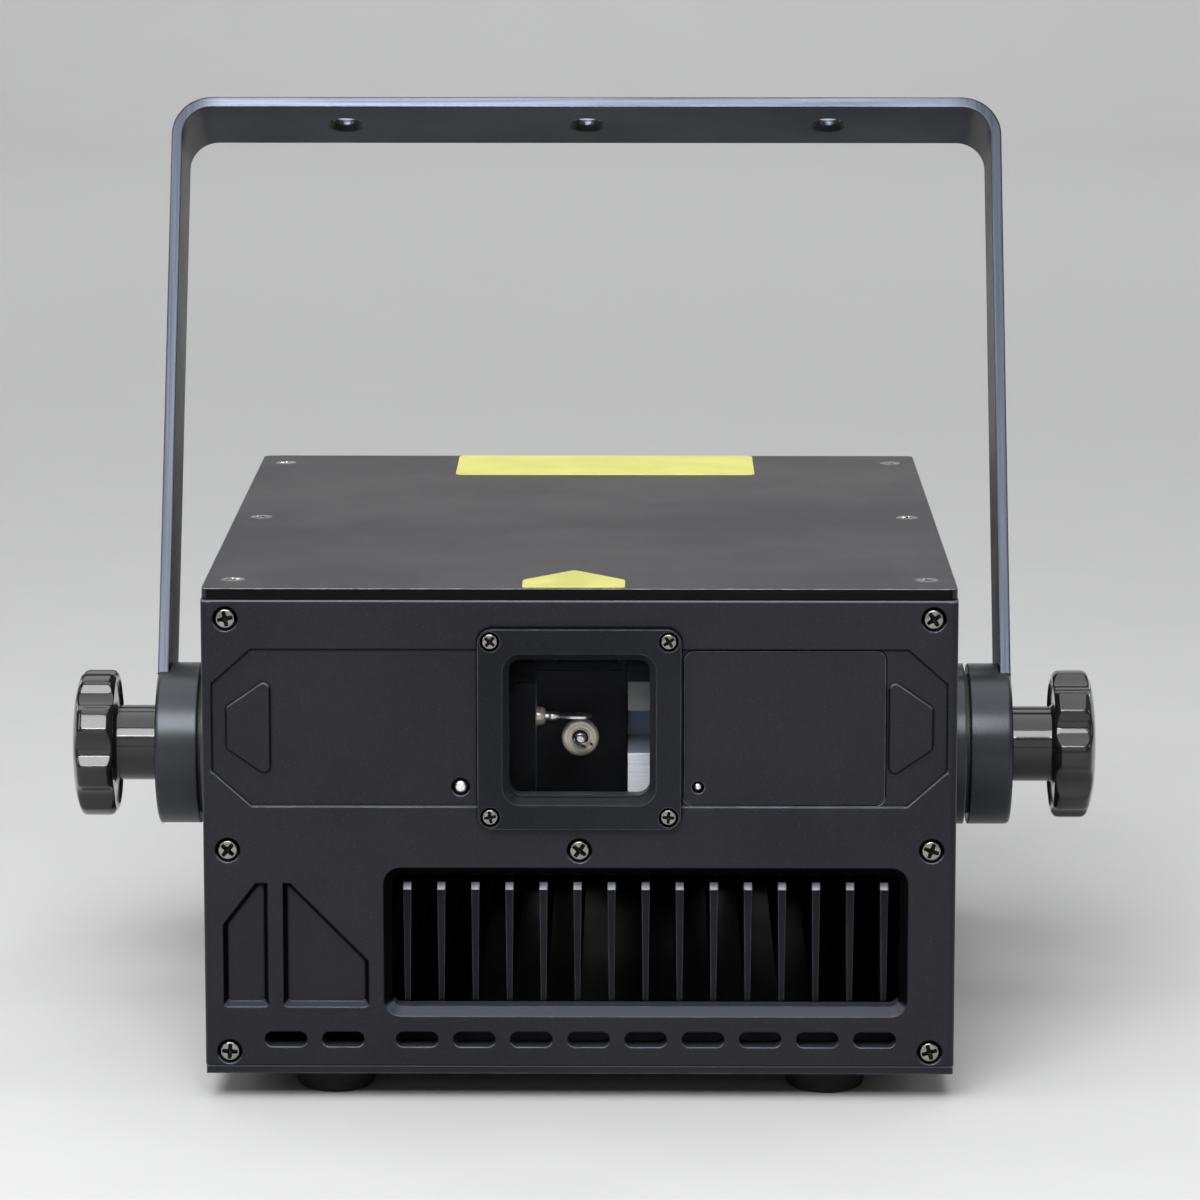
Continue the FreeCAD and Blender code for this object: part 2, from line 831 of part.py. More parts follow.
for word, sign in both_sides:
    wall_blank = box(f"{word}_wall_blank", sided(sign, "wall_inner", "half_width"),
                     ("panel_back", "rear_inner"), ("base_top", "ceiling"))
    drill_start = "wall_inner - overrun" if sign > 0 else "-half_width - overrun"
    drills = [rod(f"{word}_spigot_hole", "X", (drill_start, "pivot_y", "pivot_z"),
                  "spigot_radius + seam_gap", "wall_thick + 2 * overrun")]
    for n, (side, rise) in enumerate(((-1, -1), (-1, 1), (1, -1), (1, 1))):
        drills.append(rod(f"{word}_collar_hole_{n}", "X",
                          (drill_start, f"pivot_y + {side} * collar_bolt_spread",
                           f"pivot_z + {rise} * collar_bolt_spread"),
                          "collar_bolt_radius + thread_gap", "wall_thick + 2 * overrun"))
    wall_cut = cut(f"{word}_wall_drilled", wall_blank, drills)
    posts = []
    for place_name, y_span in (("front", ("panel_back", "(panel_back + post_deep)")),
                               ("rear", ("(rear_inner - post_deep)", "rear_inner"))):
        posts.append(box(f"{word}_{place_name}_post", sided(sign, "post_inner", "wall_inner"),
                         y_span, ("base_top", "ceiling")))
    posts.append(box(f"{word}_rail", sided(sign, "(wall_inner - rail_wide)", "wall_inner"),
                     ("(panel_back + post_deep)", "(rear_inner - post_deep)"),
                     ("(sink_plate_low - rail_tall)", "sink_plate_low")))
    posts.append(box(f"{word}_lug", sided(sign, "(wall_inner - lug_wide)", "wall_inner"),
                     ("(pivot_y - lug_deep / 2)", "(pivot_y + lug_deep / 2)"),
                     ("(ceiling - lug_tall)", "ceiling")))
    threads = []
    for n, height in enumerate(panel_bolt_heights):
        threads.append(rod(f"{word}_front_thread_{n}", "Y",
                           (f"{sign} * bolt_across", "panel_back - overrun", height),
                           "bolt_radius + thread_gap", "bolt_long"))
    for n, height in enumerate(rear_bolt_heights):
        threads.append(rod(f"{word}_rear_thread_{n}", "Y",
                           (f"{sign} * bolt_across", "rear - bolt_long", height),
                           "bolt_radius + thread_gap", "bolt_long"))
    for n, y in enumerate(ends + ("pivot_y",)):
        threads.append(rod(f"{word}_cover_thread_{n}", "Z",
                           (f"{sign} * sink_across", y, "cover_top - bolt_long - overrun"),
                           "bolt_radius + thread_gap", "bolt_long + overrun"))
    for n, y in enumerate(ends):
        threads.append(rod(f"{word}_base_thread_{n}", "Z",
                           (f"{sign} * sink_across", y, "foot_tall"),
                           "bolt_radius + thread_gap", "bolt_long + overrun"))
    wall_solid = fuse(f"{word}_wall_solid", [wall_cut] + posts)
    keep(cut(f"{word}_side_wall", wall_solid, threads))

# Top cover with countersunk screws

cover = slab("cover_blank", "XY_Plane", "ceiling", "cover_thick",
             rounds=[(base_span[0], base_span[1], depth_span[0], depth_span[1], "cover_corner")])
cover_holes = []
for n, (x, y) in enumerate(cover_spots):
    cover_holes.append(cone(f"cover_sink_{n}", "Z", (x, y, "cover_top - sink_tall"),
                            "bolt_radius + hole_gap", "sink_radius + hole_gap", "sink_tall"))
    cover_holes.append(rod(f"cover_hole_{n}", "Z", (x, y, "ceiling - overrun"),
                           "bolt_radius + hole_gap", "cover_thick - sink_tall + overrun"))
keep(cut("top_cover", cover, cover_holes))


def sunk(name, x, y, top, sign):
    """A countersunk screw whose flat head lies flush at top and whose shank runs by sign along Z."""
    if sign < 0:
        head = cone(name + "_head", "Z", (x, y, f"{top} - sink_tall"),
                    "bolt_radius", "sink_radius", "sink_tall")
        shank = rod(name + "_shank", "Z", (x, y, f"{top} - bolt_long"),
                    "bolt_radius", "bolt_long - sink_tall")
    else:
        head = cone(name + "_head", "Z", (x, y, top), "sink_radius", "bolt_radius", "sink_tall")
        shank = rod(name + "_shank", "Z", (x, y, f"{top} + sink_tall"),
                    "bolt_radius", "bolt_long - sink_tall")
    return fuse(name, [head, shank])


keep(group("countersunk_screws",
           [sunk(f"cover_screw_{n}", x, y, "cover_top", -1) for n, (x, y) in enumerate(cover_spots)]
           + [sunk(f"base_screw_{n}", x, y, "foot_tall", 1) for n, (x, y) in enumerate(sink_spots)]))

# Feet

feet = []
foot_screws = []
for n, (x, y) in enumerate(foot_spots):
    blank = cone(f"foot_blank_{n}", "Z", (x, y, "0"), "foot_base_radius", "foot_top_radius", "foot_tall")
    smooth = soften(f"foot_rounded_{n}", blank, "foot_round",
                    lambda edge: edge.Closed and at(edge.CenterOfMass, 2, 0))
    well = rod(f"foot_well_{n}", "Z", (x, y, "-overrun"), "foot_head_radius + head_room",
               "foot_sink + overrun")
    bore = rod(f"foot_bore_{n}", "Z", (x, y, "foot_sink"), "bolt_radius + hole_gap",
               "foot_tall - foot_sink + overrun")
    feet.append(cut(f"foot_{n}", smooth, [well, bore]))
    foot_screws.append(headed(f"foot_screw_{n}", "Z", (x, y, "foot_sink"), 1, "bolt_radius",
                              "(base_top - foot_sink)", "foot_head_radius", "foot_head_tall"))
keep(group("rubber_feet", feet))
keep(group("foot_screws", foot_screws))

# Front panel, milled from a thick plate

panel_corners = [("-half_width", "base_top"), ("half_width", "base_top"),
                 ("half_width", "ceiling"), ("-half_width", "ceiling")]
face = "-front"
panel = new_body("front_panel")
outline = sketch(panel, "panel_outline", "XZ_Plane", face, polygons=[panel_corners])
pad(panel, "panel_pad", outline, "front_thick", backward=True)
dress(panel, "Fillet", "panel_edges", "edge_round",
      lambda edge: along(edge, 2) and at(edge.Vertexes[0].Point, 1, "front"))

half_glass = "(glass_span / 2 + seam_gap)"
half_open = "(opening_span / 2)"
seat = sketch(panel, "glass_seat", "XZ_Plane", face, rounds=[(
    f"-{half_glass}", half_glass, f"window_height - {half_glass}", f"window_height + {half_glass}",
    "opening_round")])
pocket(panel, "glass_seat_cut", seat, "glass_thick + gasket_thick")
aperture = sketch(panel, "aperture", "XZ_Plane", face, rounds=[(
    f"-{half_open}", half_open, f"window_height - {half_open}", f"window_height + {half_open}",
    "opening_round")])
pocket(panel, "aperture_cut", aperture, "front_thick + overrun")

bezel_edge = "(bezel_span / 2)"
for word, sign in both_sides:
    recess = [(bezel_edge, "-recess_half_tall"), ("recess_corner", "-recess_half_tall"),
              ("recess_side", "-recess_side_half_tall"), ("recess_side", "recess_side_half_tall"),
              ("recess_corner", "recess_half_tall"), (bezel_edge, "recess_half_tall")]
    island = [("island_inner", "-island_inner_half_tall"), ("island_outer", "-island_outer_half_tall"),
              ("island_outer", "island_outer_half_tall"), ("island_inner", "island_inner_half_tall")]
    loops = [[(f"{sign} * {x}", f"window_height + {z}") for x, z in loop] for loop in (recess, island)]
    pocket(panel, f"{word}_recess_cut",
           sketch(panel, f"{word}_recess", "XZ_Plane", face, polygons=loops), "recess_deep")


def island_corner(edge):
    spot = edge.CenterOfMass
    across = abs(spot.x)
    rise = abs(spot.z - value("window_height"))
    inner = abs(across - value("island_inner")) < 1e-4 and abs(rise - value("island_inner_half_tall")) < 1e-4
    outer = abs(across - value("island_outer")) < 1e-4 and abs(rise - value("island_outer_half_tall")) < 1e-4
    return along(edge, 1) and (inner or outer)


dress(panel, "Fillet", "islands_rounded", "island_round", island_corner)

bed = sketch(panel, "plate_bed", "XZ_Plane", face, rounds=[(
    "plate_left - seam_gap", "plate_right + seam_gap", "window_height - plate_half_tall - seam_gap",
    "window_height + plate_half_tall + seam_gap", "plate_round + seam_gap")])
pocket(panel, "plate_bed_cut", bed, "recess_deep + plate_thick")

pockets = sketch(panel, "pockets", "XZ_Plane", face, polygons=[
    [("narrow_left", "pocket_low"), ("narrow_right", "pocket_low"), ("narrow_right", "pocket_high"),
     ("narrow_peak", "pocket_high"), ("narrow_left", "narrow_shoulder")],
    [("wide_left", "pocket_low"), ("wide_right", "pocket_low"), ("wide_right", "wide_shoulder"),
     ("wide_peak", "pocket_high"), ("wide_left", "pocket_high")]])
drafted = pocket(panel, "pockets_cut", pockets, "pocket_deep")
bind(drafted, TaperAngle="-pocket_draft")


def pocket_corner(edge):
    """Edges down the pockets' walls, apart from those at the narrow peaks."""
    if len(edge.Vertexes) < 2:
        return False
    rim, floor = sorted((corner.Point for corner in edge.Vertexes), key=lambda point: point.y)
    inside = (value("narrow_left") - 1e-3 < rim.x < value("wide_right") + 1e-3
              and value("pocket_low") - 1e-3 < rim.z < value("pocket_high") - 1e-3)
    return inside and at(rim, 1, "front") and at(floor, 1, "front + pocket_deep")


dress(panel, "Fillet", "pockets_rounded", "pocket_round", pocket_corner)

vent = sketch(panel, "vent", "XZ_Plane", face, rounds=[
    ("vent_left + vent_bevel", "vent_right - vent_bevel", "vent_low + vent_bevel", "vent_high - vent_bevel",
     "vent_round - vent_bevel")])
pocket(panel, "vent_cut", vent, "front_thick + overrun")


def around_vent(edge):
    spot = edge.CenterOfMass
    inside = (value("vent_left") - 1e-3 < spot.x < value("vent_right") + 1e-3
              and value("vent_low") - 1e-3 < spot.z < value("vent_high") + 1e-3)
    return inside and at(spot, 1, "front") and not along(edge, 1)


dress(panel, "Chamfer", "vent_bevelled", "vent_bevel", around_vent)

slots = []
for word in ("left", "right"):
    for n in range(int(value(f"{word}_slot_count"))):
        middle = f"({word}_slot_start + {n} * slot_pitch)"
        slots.append((f"{middle} - slot_long / 2", f"{middle} + slot_long / 2",
                      "slot_height - slot_tall / 2", "slot_height + slot_tall / 2", "slot_round"))
pocket(panel, "slots_cut", sketch(panel, "slots", "XZ_Plane", face, rounds=slots), "front_thick + overrun")

panel_bolts = [(f"({side} * bolt_across)", height) for side in (-1, 1) for height in panel_bolt_heights]
panel_bolts.append(("0", "bolt_middle"))
pocket(panel, "head_wells_cut", sketch(panel, "head_wells", "XZ_Plane", face, circles=[
    (x, z, "head_radius + head_room") for x, z in panel_bolts]), "head_tall")
pocket(panel, "bolt_holes_cut", sketch(panel, "bolt_holes", "XZ_Plane", face, circles=[
    (x, z, "bolt_radius + hole_gap") for x, z in panel_bolts]), "front_thick + overrun")
bezel_bolts = [(f"({side} * bezel_bolt_spread)", f"(window_height + {rise} * bezel_bolt_spread)")
               for side in (-1, 1) for rise in (-1, 1)]
pocket(panel, "bezel_threads_cut", sketch(panel, "bezel_threads", "XZ_Plane", face, circles=[
    (x, z, "small_radius + thread_gap") for x, z in bezel_bolts]), "small_long")
pocket(panel, "pin_wells_cut", sketch(panel, "pin_wells", "XZ_Plane", face, circles=[
    ("-pin_across", "pin_height", "left_pin_hole"), ("pin_across", "pin_height", "right_pin_hole")]),
    "recess_deep + pin_sink")
keep(panel)

panel_screws = [headed(f"front_screw_{n}", "Y", (x, "(front + head_tall)", z), 1,
                       "bolt_radius", "bolt_long", "head_radius", "head_tall")
                for n, (x, z) in enumerate(panel_bolts)]

# Window: bezel, glass, gasket

bezel = slab("window_bezel", "XZ_Plane", face, "bezel_proud", rounds=[
    (f"-{bezel_edge}", bezel_edge, f"window_height - {bezel_edge}", f"window_height + {bezel_edge}",
     "bezel_round"),
    (f"-{half_open}", half_open, f"window_height - {half_open}", f"window_height + {half_open}",
     "opening_round")])


def bezel_lip(edge):
    spot = edge.CenterOfMass
    reach = value(half_open) + 1e-3
    near = abs(spot.x) < reach and abs(spot.z - value("window_height")) < reach
    return near and at(spot, 1, "front - bezel_proud") and not along(edge, 1)


dress(bezel, "Chamfer", "bezel_lip", "bezel_bevel", bezel_lip)
bezel_front = "-(front - bezel_proud)"
pocket(bezel, "bezel_wells_cut", sketch(bezel, "bezel_wells", "XZ_Plane", bezel_front, circles=[
    (x, z, "small_head_radius + head_room") for x, z in bezel_bolts]), "small_head_tall")
pocket(bezel, "bezel_holes_cut", sketch(bezel, "bezel_holes", "XZ_Plane", bezel_front, circles=[
    (x, z, "small_radius + hole_gap") for x, z in bezel_bolts]), "bezel_proud + overrun")
keep(bezel)
small_screws = [headed(f"bezel_screw_{n}", "Y", (x, "(front - bezel_proud + small_head_tall)", z), 1,
                       "small_radius", "small_long", "small_head_radius", "small_head_tall")
                for n, (x, z) in enumerate(bezel_bolts)]

half_pane = "(glass_span / 2)"
pane_loop = (f"-{half_pane}", half_pane, f"window_height - {half_pane}", f"window_height + {half_pane}",
             "opening_round")
keep(slab("window_glass", "XZ_Plane", face, "glass_thick", backward=True, rounds=[pane_loop]))
keep(slab("window_gasket", "XZ_Plane", "-(front + glass_thick)", "gasket_thick", backward=True, rounds=[
    pane_loop, (f"-{half_open}", half_open, f"window_height - {half_open}", f"window_height + {half_open}",
                "opening_round")]))

# Flush cover plate and domed pins

keep(slab("front_cover_plate", "XZ_Plane", "-(front + recess_deep)", "plate_thick", backward=True,
          rounds=[("plate_left", "plate_right", "window_height - plate_half_tall",
                   "window_height + plate_half_tall", "plate_round")],
          circles=[("pin_across", "pin_height", "right_pin_hole")]))
pins = []
for word, sign in both_sides:
    stem = rod(f"{word}_pin_stem", "Y",
               (f"{sign} * pin_across", "front + recess_deep + pin_sink - pin_long", "pin_height"),
               f"{word}_pin_radius", "pin_long")
    pins.append(soften(f"{word}_pin", stem, "pin_dome",
                       lambda edge: edge.Closed and at(edge.CenterOfMass, 1,
                                                       "front + recess_deep + pin_sink - pin_long")))
keep(group("front_pins", pins))

# Heat sink: a plate with tapered fins that hang from it

sink = new_body("heat_sink")
step_y = "(panel_back + post_deep + hole_gap)"
plate_end = "(fan_inner - hole_gap)"
plate_half = "(wall_inner - hole_gap)"
plate_sketch = sketch(sink, "plate_outline", "XY_Plane", "sink_plate_low", polygons=[[
    ("-tongue_half_wide", "panel_back"), ("tongue_half_wide", "panel_back"), ("tongue_half_wide", step_y),
    (plate_half, step_y), (plate_half, plate_end), (f"-{plate_half}", plate_end),
    (f"-{plate_half}", step_y), ("-tongue_half_wide", step_y)]])
pad(sink, "plate_pad", plate_sketch, "sink_plate_thick")
fin_outline = sketch(sink, "fin_outline", "XZ_Plane", "-fin_front", polygons=[[
    ("fin_first - fin_tip_thick / 2", "fin_low"), ("fin_first + fin_tip_thick / 2", "fin_low"),
    ("fin_first + fin_top_thick / 2", "sink_plate_low"),
    ("fin_first - fin_top_thick / 2", "sink_plate_low")]])
fin = pad(sink, "fin_pad", fin_outline, "fin_end - fin_front", backward=True)
fins = sink.newObject("PartDesign::LinearPattern", "fin_row")
fins.Originals = [fin]
fins.Direction = (origin_feature(sink, "X_Axis"), [""])
bind(fins, Occurrences="fin_count", Length="fin_pitch * (fin_count - 1)")
sink.Tip = fins
mitre = sketch(sink, "fin_mitre", "YZ_Plane", "0", polygons=[[
    ("fin_front", "fin_top - fin_bevel"), ("fin_front + fin_bevel", "fin_top"),
    ("fin_front + fin_notch_deep", "fin_top"), ("fin_front + fin_notch_deep", "sink_plate_low"),
    ("fin_front", "sink_plate_low")]])
pocket(sink, "fin_mitre_cut", mitre, "body_width", centred=True)
thread = sketch(sink, "sink_thread", "XZ_Plane", "-panel_back", circles=[
    ("0", "bolt_middle", "bolt_radius + thread_gap")])
pocket(sink, "sink_thread_cut", thread, "bolt_long")
keep(sink)

# Optical bench

keep(box("optical_bench", ("-bench_half_wide", "bench_half_wide"),
         ("bench_front", "bench_end"), ("plate_top", "bench_top")))

# Scanner: one galvo faces the window, the other crosses above its shaft

rear_block = box("scanner_rear_block", ("block_left", "block_right"),
                 ("nose_y", "(nose_y + block_wall_deep)"), ("bench_top", "block_top"))
side_block = box("scanner_side_block", ("block_left", "block_inner"), ("block_front", "nose_y"),
                 ("bench_top", "block_top"))
front_bore = rod("front_bore", "Y", ("scan_axis_across", "nose_y - overrun", "scan_axis_height"),
                 "galvo_radius + bore_gap", "galvo_long + overrun")
side_bore = rod("side_bore", "X", ("block_left - overrun", "side_y", "side_z"),
                "galvo_radius + bore_gap", "block_inner - block_left + 2 * overrun")
keep(cut("scanner_block", fuse("scanner_solid", [rear_block, side_block]), [front_bore, side_bore]))

shaft_hole = "shaft_radius + turn_gap"
front_case = rod("front_case", "Y", ("scan_axis_across", "scan_y", "scan_axis_height"),
                 "galvo_radius", "galvo_long")
front_core = rod("front_core", "Y", ("scan_axis_across", "scan_y - overrun", "scan_axis_height"),
                 shaft_hole, "galvo_long - galvo_nose")
front_galvo = cut("front_galvo", front_case, [front_core])
side_can = rod("side_can", "X", ("side_face_across - galvo_long", "side_y", "side_z"),
               "galvo_radius", "galvo_long - side_boss_long")
side_boss = rod("side_boss", "X", ("side_face_across - side_boss_long", "side_y", "side_z"),
                "side_boss_radius", "side_boss_long")
side_case = fuse("side_case", [side_can, side_boss])
side_core = rod("side_core", "X", ("side_face_across - galvo_long + galvo_nose", "side_y", "side_z"),
                shaft_hole, "galvo_long")
side_galvo = cut("side_galvo", side_case, [side_core])
keep(group("galvo_motors", [front_galvo, side_galvo]))


def slotted_shaft(name, axis, start, length, slot):
    return cut(name, rod(name + "_round", axis, start, "shaft_radius", length), [slot])


def tilted_box(name, wide, long, thick, centre, axis):
    """A thin plate, long along the shaft axis and turned about it by the resting angle."""
    across = (f"(-{wide} / 2)", f"({wide} / 2)")
    through = (f"(-{thick} / 2)", f"({thick} / 2)")
    if axis == "Y":
        plate = box(name + "_flat", across, ("0", long), through)
        turned = FreeCAD.Rotation(FreeCAD.Vector(0, 1, 0), value("mirror_tilt"))
    else:
        plate = box(name + "_flat", ("0", long), across, through)
        turned = FreeCAD.Rotation()
    holder = group(name, [plate])
    holder.Placement = FreeCAD.Placement(FreeCAD.Vector(), turned)
    return place(holder, *centre)


front_tip = "(scan_y - front_shaft_long)"
mirror_start = f"({front_tip} + shaft_bite - front_mirror_long)"
front_place = ("scan_axis_across", mirror_start, "scan_axis_height")
front_slot = tilted_box("front_slot", "(front_mirror_wide + overrun)", "front_mirror_long",
                        "(mirror_thick + 2 * bore_gap)", front_place, "Y")
keep(slotted_shaft("front_shaft", "Y", ("scan_axis_across", front_tip, "scan_axis_height"),
                   "front_shaft_long + galvo_long / 2", front_slot))
keep(tilted_box("front_mirror", "front_mirror_wide", "front_mirror_long", "mirror_thick", front_place, "Y"))

side_tip = "(side_face_across + side_shaft_long)"
side_place = (f"{side_tip} - shaft_bite", "side_y", "side_z")
side_slot = tilted_box("side_slot", "(side_mirror_wide + overrun)", "side_mirror_long",
                       "(mirror_thick + 2 * bore_gap)", side_place, "X")
keep(slotted_shaft("side_shaft", "X", ("side_face_across - galvo_long / 2", "side_y", "side_z"),
                   "side_shaft_long + galvo_long / 2", side_slot))
keep(tilted_box("side_mirror", "side_mirror_wide", "side_mirror_long", "mirror_thick", side_place, "X"))

upright_span = ("upright_front", "(upright_front + upright_deep)")
upright = box("upright_blank", ("upright_left", "upright_right"), upright_span,
              ("bench_top", "upright_top"))
beam_slot = box("upright_slot", ("upright_left - overrun", "upright_right + overrun"),
                ("upright_front - overrun", "(upright_front + upright_deep - upright_web)"),
                ("(beam_height - beam_room)", "(beam_height + beam_room)"))
keep(cut("scanner_side_plate", upright, [beam_slot]))

# Lasers and the mirrors that join their beams

lasers = []
beam_rows = [f"(front + laser_first + {n} * laser_pitch)" for n in range(3)]
for n, y in enumerate(beam_rows):
    case = box(f"laser_case_{n}", ("laser_left", "laser_left + laser_long"),
               (f"({y} - laser_wide / 2)", f"({y} + laser_wide / 2)"), ("bench_top", "laser_top"))
    barrel = rod(f"laser_barrel_{n}", "X", ("laser_left + laser_long", y, "beam_height"),
                 "barrel_radius", "barrel_long")
    lasers.append(fuse(f"laser_{n}", [case, barrel]))
keep(group("laser_modules", lasers))
mount_rows = beam_rows + ["side_y"]
mounts = []
mirrors = []
for n, y in enumerate(mount_rows):
    mounts.append(box(f"mount_{n}", ("mount_across - mount_wide / 2", "mount_across + mount_wide / 2"),
                      (f"({y} - mount_wide / 2)", f"({y} + mount_wide / 2)"),
                      ("bench_top", "mount_top")))
    pane = box(f"beam_pane_{n}", ("-beam_mirror_wide / 2", "beam_mirror_wide / 2"),
               ("-beam_mirror_thick / 2", "beam_mirror_thick / 2"), ("0", "beam_mirror_tall"))
    turned = group(f"beam_mirror_{n}", [pane])
    turned.Placement = FreeCAD.Placement(FreeCAD.Vector(), FreeCAD.Rotation(FreeCAD.Vector(0, 0, 1), 45))
    mirrors.append(place(turned, "mount_across", y, "mount_top"))
keep(group("beam_mirror_mounts", mounts))
keep(group("beam_mirrors", mirrors))

# Power supply and boards

supply = new_body("power_supply")
supply_sketch = sketch(supply, "supply_outline", "XZ_Plane", "-supply_front", polygons=[[
    ("supply_left", "base_top"), ("supply_right", "base_top"), ("supply_right", "supply_top - supply_bevel"),
    ("supply_right - supply_bevel", "supply_top"), ("supply_left + supply_bevel", "supply_top"),
    ("supply_left", "supply_top - supply_bevel")]])
pad(supply, "supply_pad", supply_sketch, "supply_end - supply_front", backward=True)
keep(supply)

boards = []
standoffs = []
for name, left in (("control_board", "control_left"), ("scanner_driver_board", "driver_left")):
    card = box(name + "_card", (left, f"({left} + board_wide)"), ("board_front", "board_end"),
               ("board_low", "board_high"))
    chip = box(name + "_chip", (f"({left} + chip_inset)", f"({left} + chip_inset + chip_wide)"),
               ("(board_front + chip_inset)", "(board_front + chip_inset + chip_wide)"),
               ("board_high", "(board_high + chip_tall)"))
    coils = [rod(f"{name}_coil_{n}", "Z",
                 (f"{left} + board_wide - chip_inset", f"board_front + {n} * board_deep / 3", "board_high"),
                 "coil_radius", "coil_tall") for n in (1, 2)]
    boards.append(fuse(name, [card, chip] + coils))
    for n, (a, b) in enumerate(((0, 0), (0, 1), (1, 0), (1, 1))):
        x = f"{left} + standoff_inset + {a} * (board_wide - 2 * standoff_inset)"
        y = f"board_front + standoff_inset + {b} * (board_deep - 2 * standoff_inset)"
        standoffs.append(rod(f"{name}_standoff_{n}", "Z", (x, y, "bench_top"),
                             "standoff_radius", "standoff_tall"))
keep(group("circuit_boards", boards))
keep(group("board_standoffs", standoffs))

# Yoke: flat bar bent to a U, drawn about its pivot and leaned back

def lean(item):
    """Puts a piece drawn about the pivot at the resting tilt of the yoke."""
    item.Placement = FreeCAD.Placement(FreeCAD.Vector(), FreeCAD.Rotation(FreeCAD.Vector(-1, 0, 0), 1))
    bind(item, **{"Placement.Rotation.Angle": "yoke_tilt"})
    return place(item, "0", "pivot_y", "pivot_z")


yoke = new_body("yoke_bracket")
yoke_top_inner = "(yoke_rise - bar_thick)"
bar_sketch = sketch(yoke, "bar_outline", "XZ_Plane", "0", polygons=[[
    ("-yoke_half_wide", "-yoke_drop"), ("-arm_inner", "-yoke_drop"), ("-arm_inner", yoke_top_inner),
    ("arm_inner", yoke_top_inner), ("arm_inner", "-yoke_drop"), ("yoke_half_wide", "-yoke_drop"),
    ("yoke_half_wide", "yoke_rise"), ("-yoke_half_wide", "yoke_rise")]])
pad(yoke, "bar_pad", bar_sketch, "bar_wide", centred=True)
dress(yoke, "Fillet", "inner_bends", "bend_inner_radius",
      lambda edge: along(edge, 1) and at(edge.CenterOfMass, 2, yoke_top_inner))
dress(yoke, "Fillet", "outer_bends", "bend_inner_radius + bar_thick",
      lambda edge: along(edge, 1) and at(edge.CenterOfMass, 2, "yoke_rise"))
pocket(yoke, "stud_holes_cut", sketch(yoke, "stud_holes", "YZ_Plane", "0", circles=[
    ("0", "0", "stud_radius + turn_gap")]), "2 * yoke_half_wide + 2 * overrun", centred=True)
pocket(yoke, "hang_holes_cut", sketch(yoke, "hang_holes", "XY_Plane", "yoke_rise", circles=[
    (f"{side} * hang_hole_across", "0", "hang_hole_radius") for side in (-1, 0, 1)]), "bar_thick + overrun")
dress(yoke, "Chamfer", "hang_bevels", "hang_bevel",
      lambda edge: edge.Closed and at(edge.CenterOfMass, 2, yoke_top_inner))
keep(lean(yoke))

bosses = []
washers = []
for word, sign in both_sides:
    inner = "boss_face" if sign > 0 else "-yoke_half_wide"
    boss = new_body(f"{word}_boss")
    boss_sketch = sketch(boss, f"{word}_boss_outline", "YZ_Plane", inner, circles=[
        ("0", "0", "boss_radius"), ("0", "0", "stud_radius + turn_gap")])
    pad(boss, f"{word}_boss_pad", boss_sketch, "yoke_half_wide - boss_face")
    outer = "yoke_half_wide" if sign > 0 else "-yoke_half_wide"
    dress(boss, "Fillet", f"{word}_boss_rim", "boss_round",
          lambda edge: (edge.Closed and at(edge.CenterOfMass, 0, outer)
                        and edge.Length > value("4 * boss_radius")))
    side_gap = "(bar_wide / 2 + seam_gap)"
    groove = sketch(boss, f"{word}_boss_groove", "YZ_Plane", outer, polygons=[[
        (f"-{side_gap}", "-yoke_drop - seam_gap"), (side_gap, "-yoke_drop - seam_gap"),
        (side_gap, "boss_radius + overrun"), (f"-{side_gap}", "boss_radius + overrun")]])
    pocket(boss, f"{word}_boss_groove_cut", groove, "bar_thick", backward=sign < 0)
    bosses.append(lean(boss))
    start = "collar_face" if sign > 0 else "-boss_face"
    disc = rod(f"{word}_washer_disc", "X", (start, "pivot_y", "pivot_z"), "washer_radius", "washer_thick")
    eye = rod(f"{word}_washer_eye", "X",
              (f"{sign} * collar_face - washer_thick - overrun", "pivot_y", "pivot_z"),
              "stud_radius + turn_gap", "2 * washer_thick + 2 * overrun")
    washers.append(cut(f"{word}_washer", disc, [eye]))
keep(group("yoke_bosses", bosses))
keep(group("friction_washers", washers))

# Collars that carry the yoke on the walls, with their screws

collars = []
collar_screws = []
for word, sign in both_sides:
    start = "half_width" if sign > 0 else "-collar_face"
    disc = rod(f"{word}_collar_disc", "X", (start, "pivot_y", "pivot_z"),
               "collar_radius", "collar_face - half_width")
    start = "spigot_end" if sign > 0 else "-half_width"
    spigot = rod(f"{word}_collar_spigot", "X", (start, "pivot_y", "pivot_z"),
                 "spigot_radius", "half_width - spigot_end")
    tools = [rod(f"{word}_collar_bore", "X",
                 ("spigot_end - overrun" if sign > 0 else "-collar_face - overrun", "pivot_y", "pivot_z"),
                 "stud_radius + thread_gap", "collar_face - spigot_end + 2 * overrun")]
    head_seat = "(collar_face - seam_gap - collar_head_tall)"
    for n, (side, rise) in enumerate(((-1, -1), (-1, 1), (1, -1), (1, 1))):
        y = f"(pivot_y + {side} * collar_bolt_spread)"
        z = f"(pivot_z + {rise} * collar_bolt_spread)"
        tools.append(rod(f"{word}_collar_well_{n}", "X",
                         (head_seat if sign > 0 else "-collar_face - overrun", y, z),
                         "collar_head_radius + head_room", "collar_head_tall + seam_gap + overrun"))
        tools.append(rod(f"{word}_collar_clear_{n}", "X",
                         ("half_width - overrun" if sign > 0 else f"-{head_seat}", y, z),
                         "collar_bolt_radius + hole_gap", f"{head_seat} - half_width + overrun"))
        collar_screws.append(headed(f"{word}_collar_screw_{n}", "X", (f"({sign} * {head_seat})", y, z), -sign,
                                    "collar_bolt_radius", f"({head_seat} - spigot_end)",
                                    "collar_head_radius", "collar_head_tall"))
    collars.append(cut(f"{word}_collar", fuse(f"{word}_collar_solid", [disc, spigot]), tools))
keep(group("pivot_collars", collars))
keep(group("collar_screws", collar_screws))

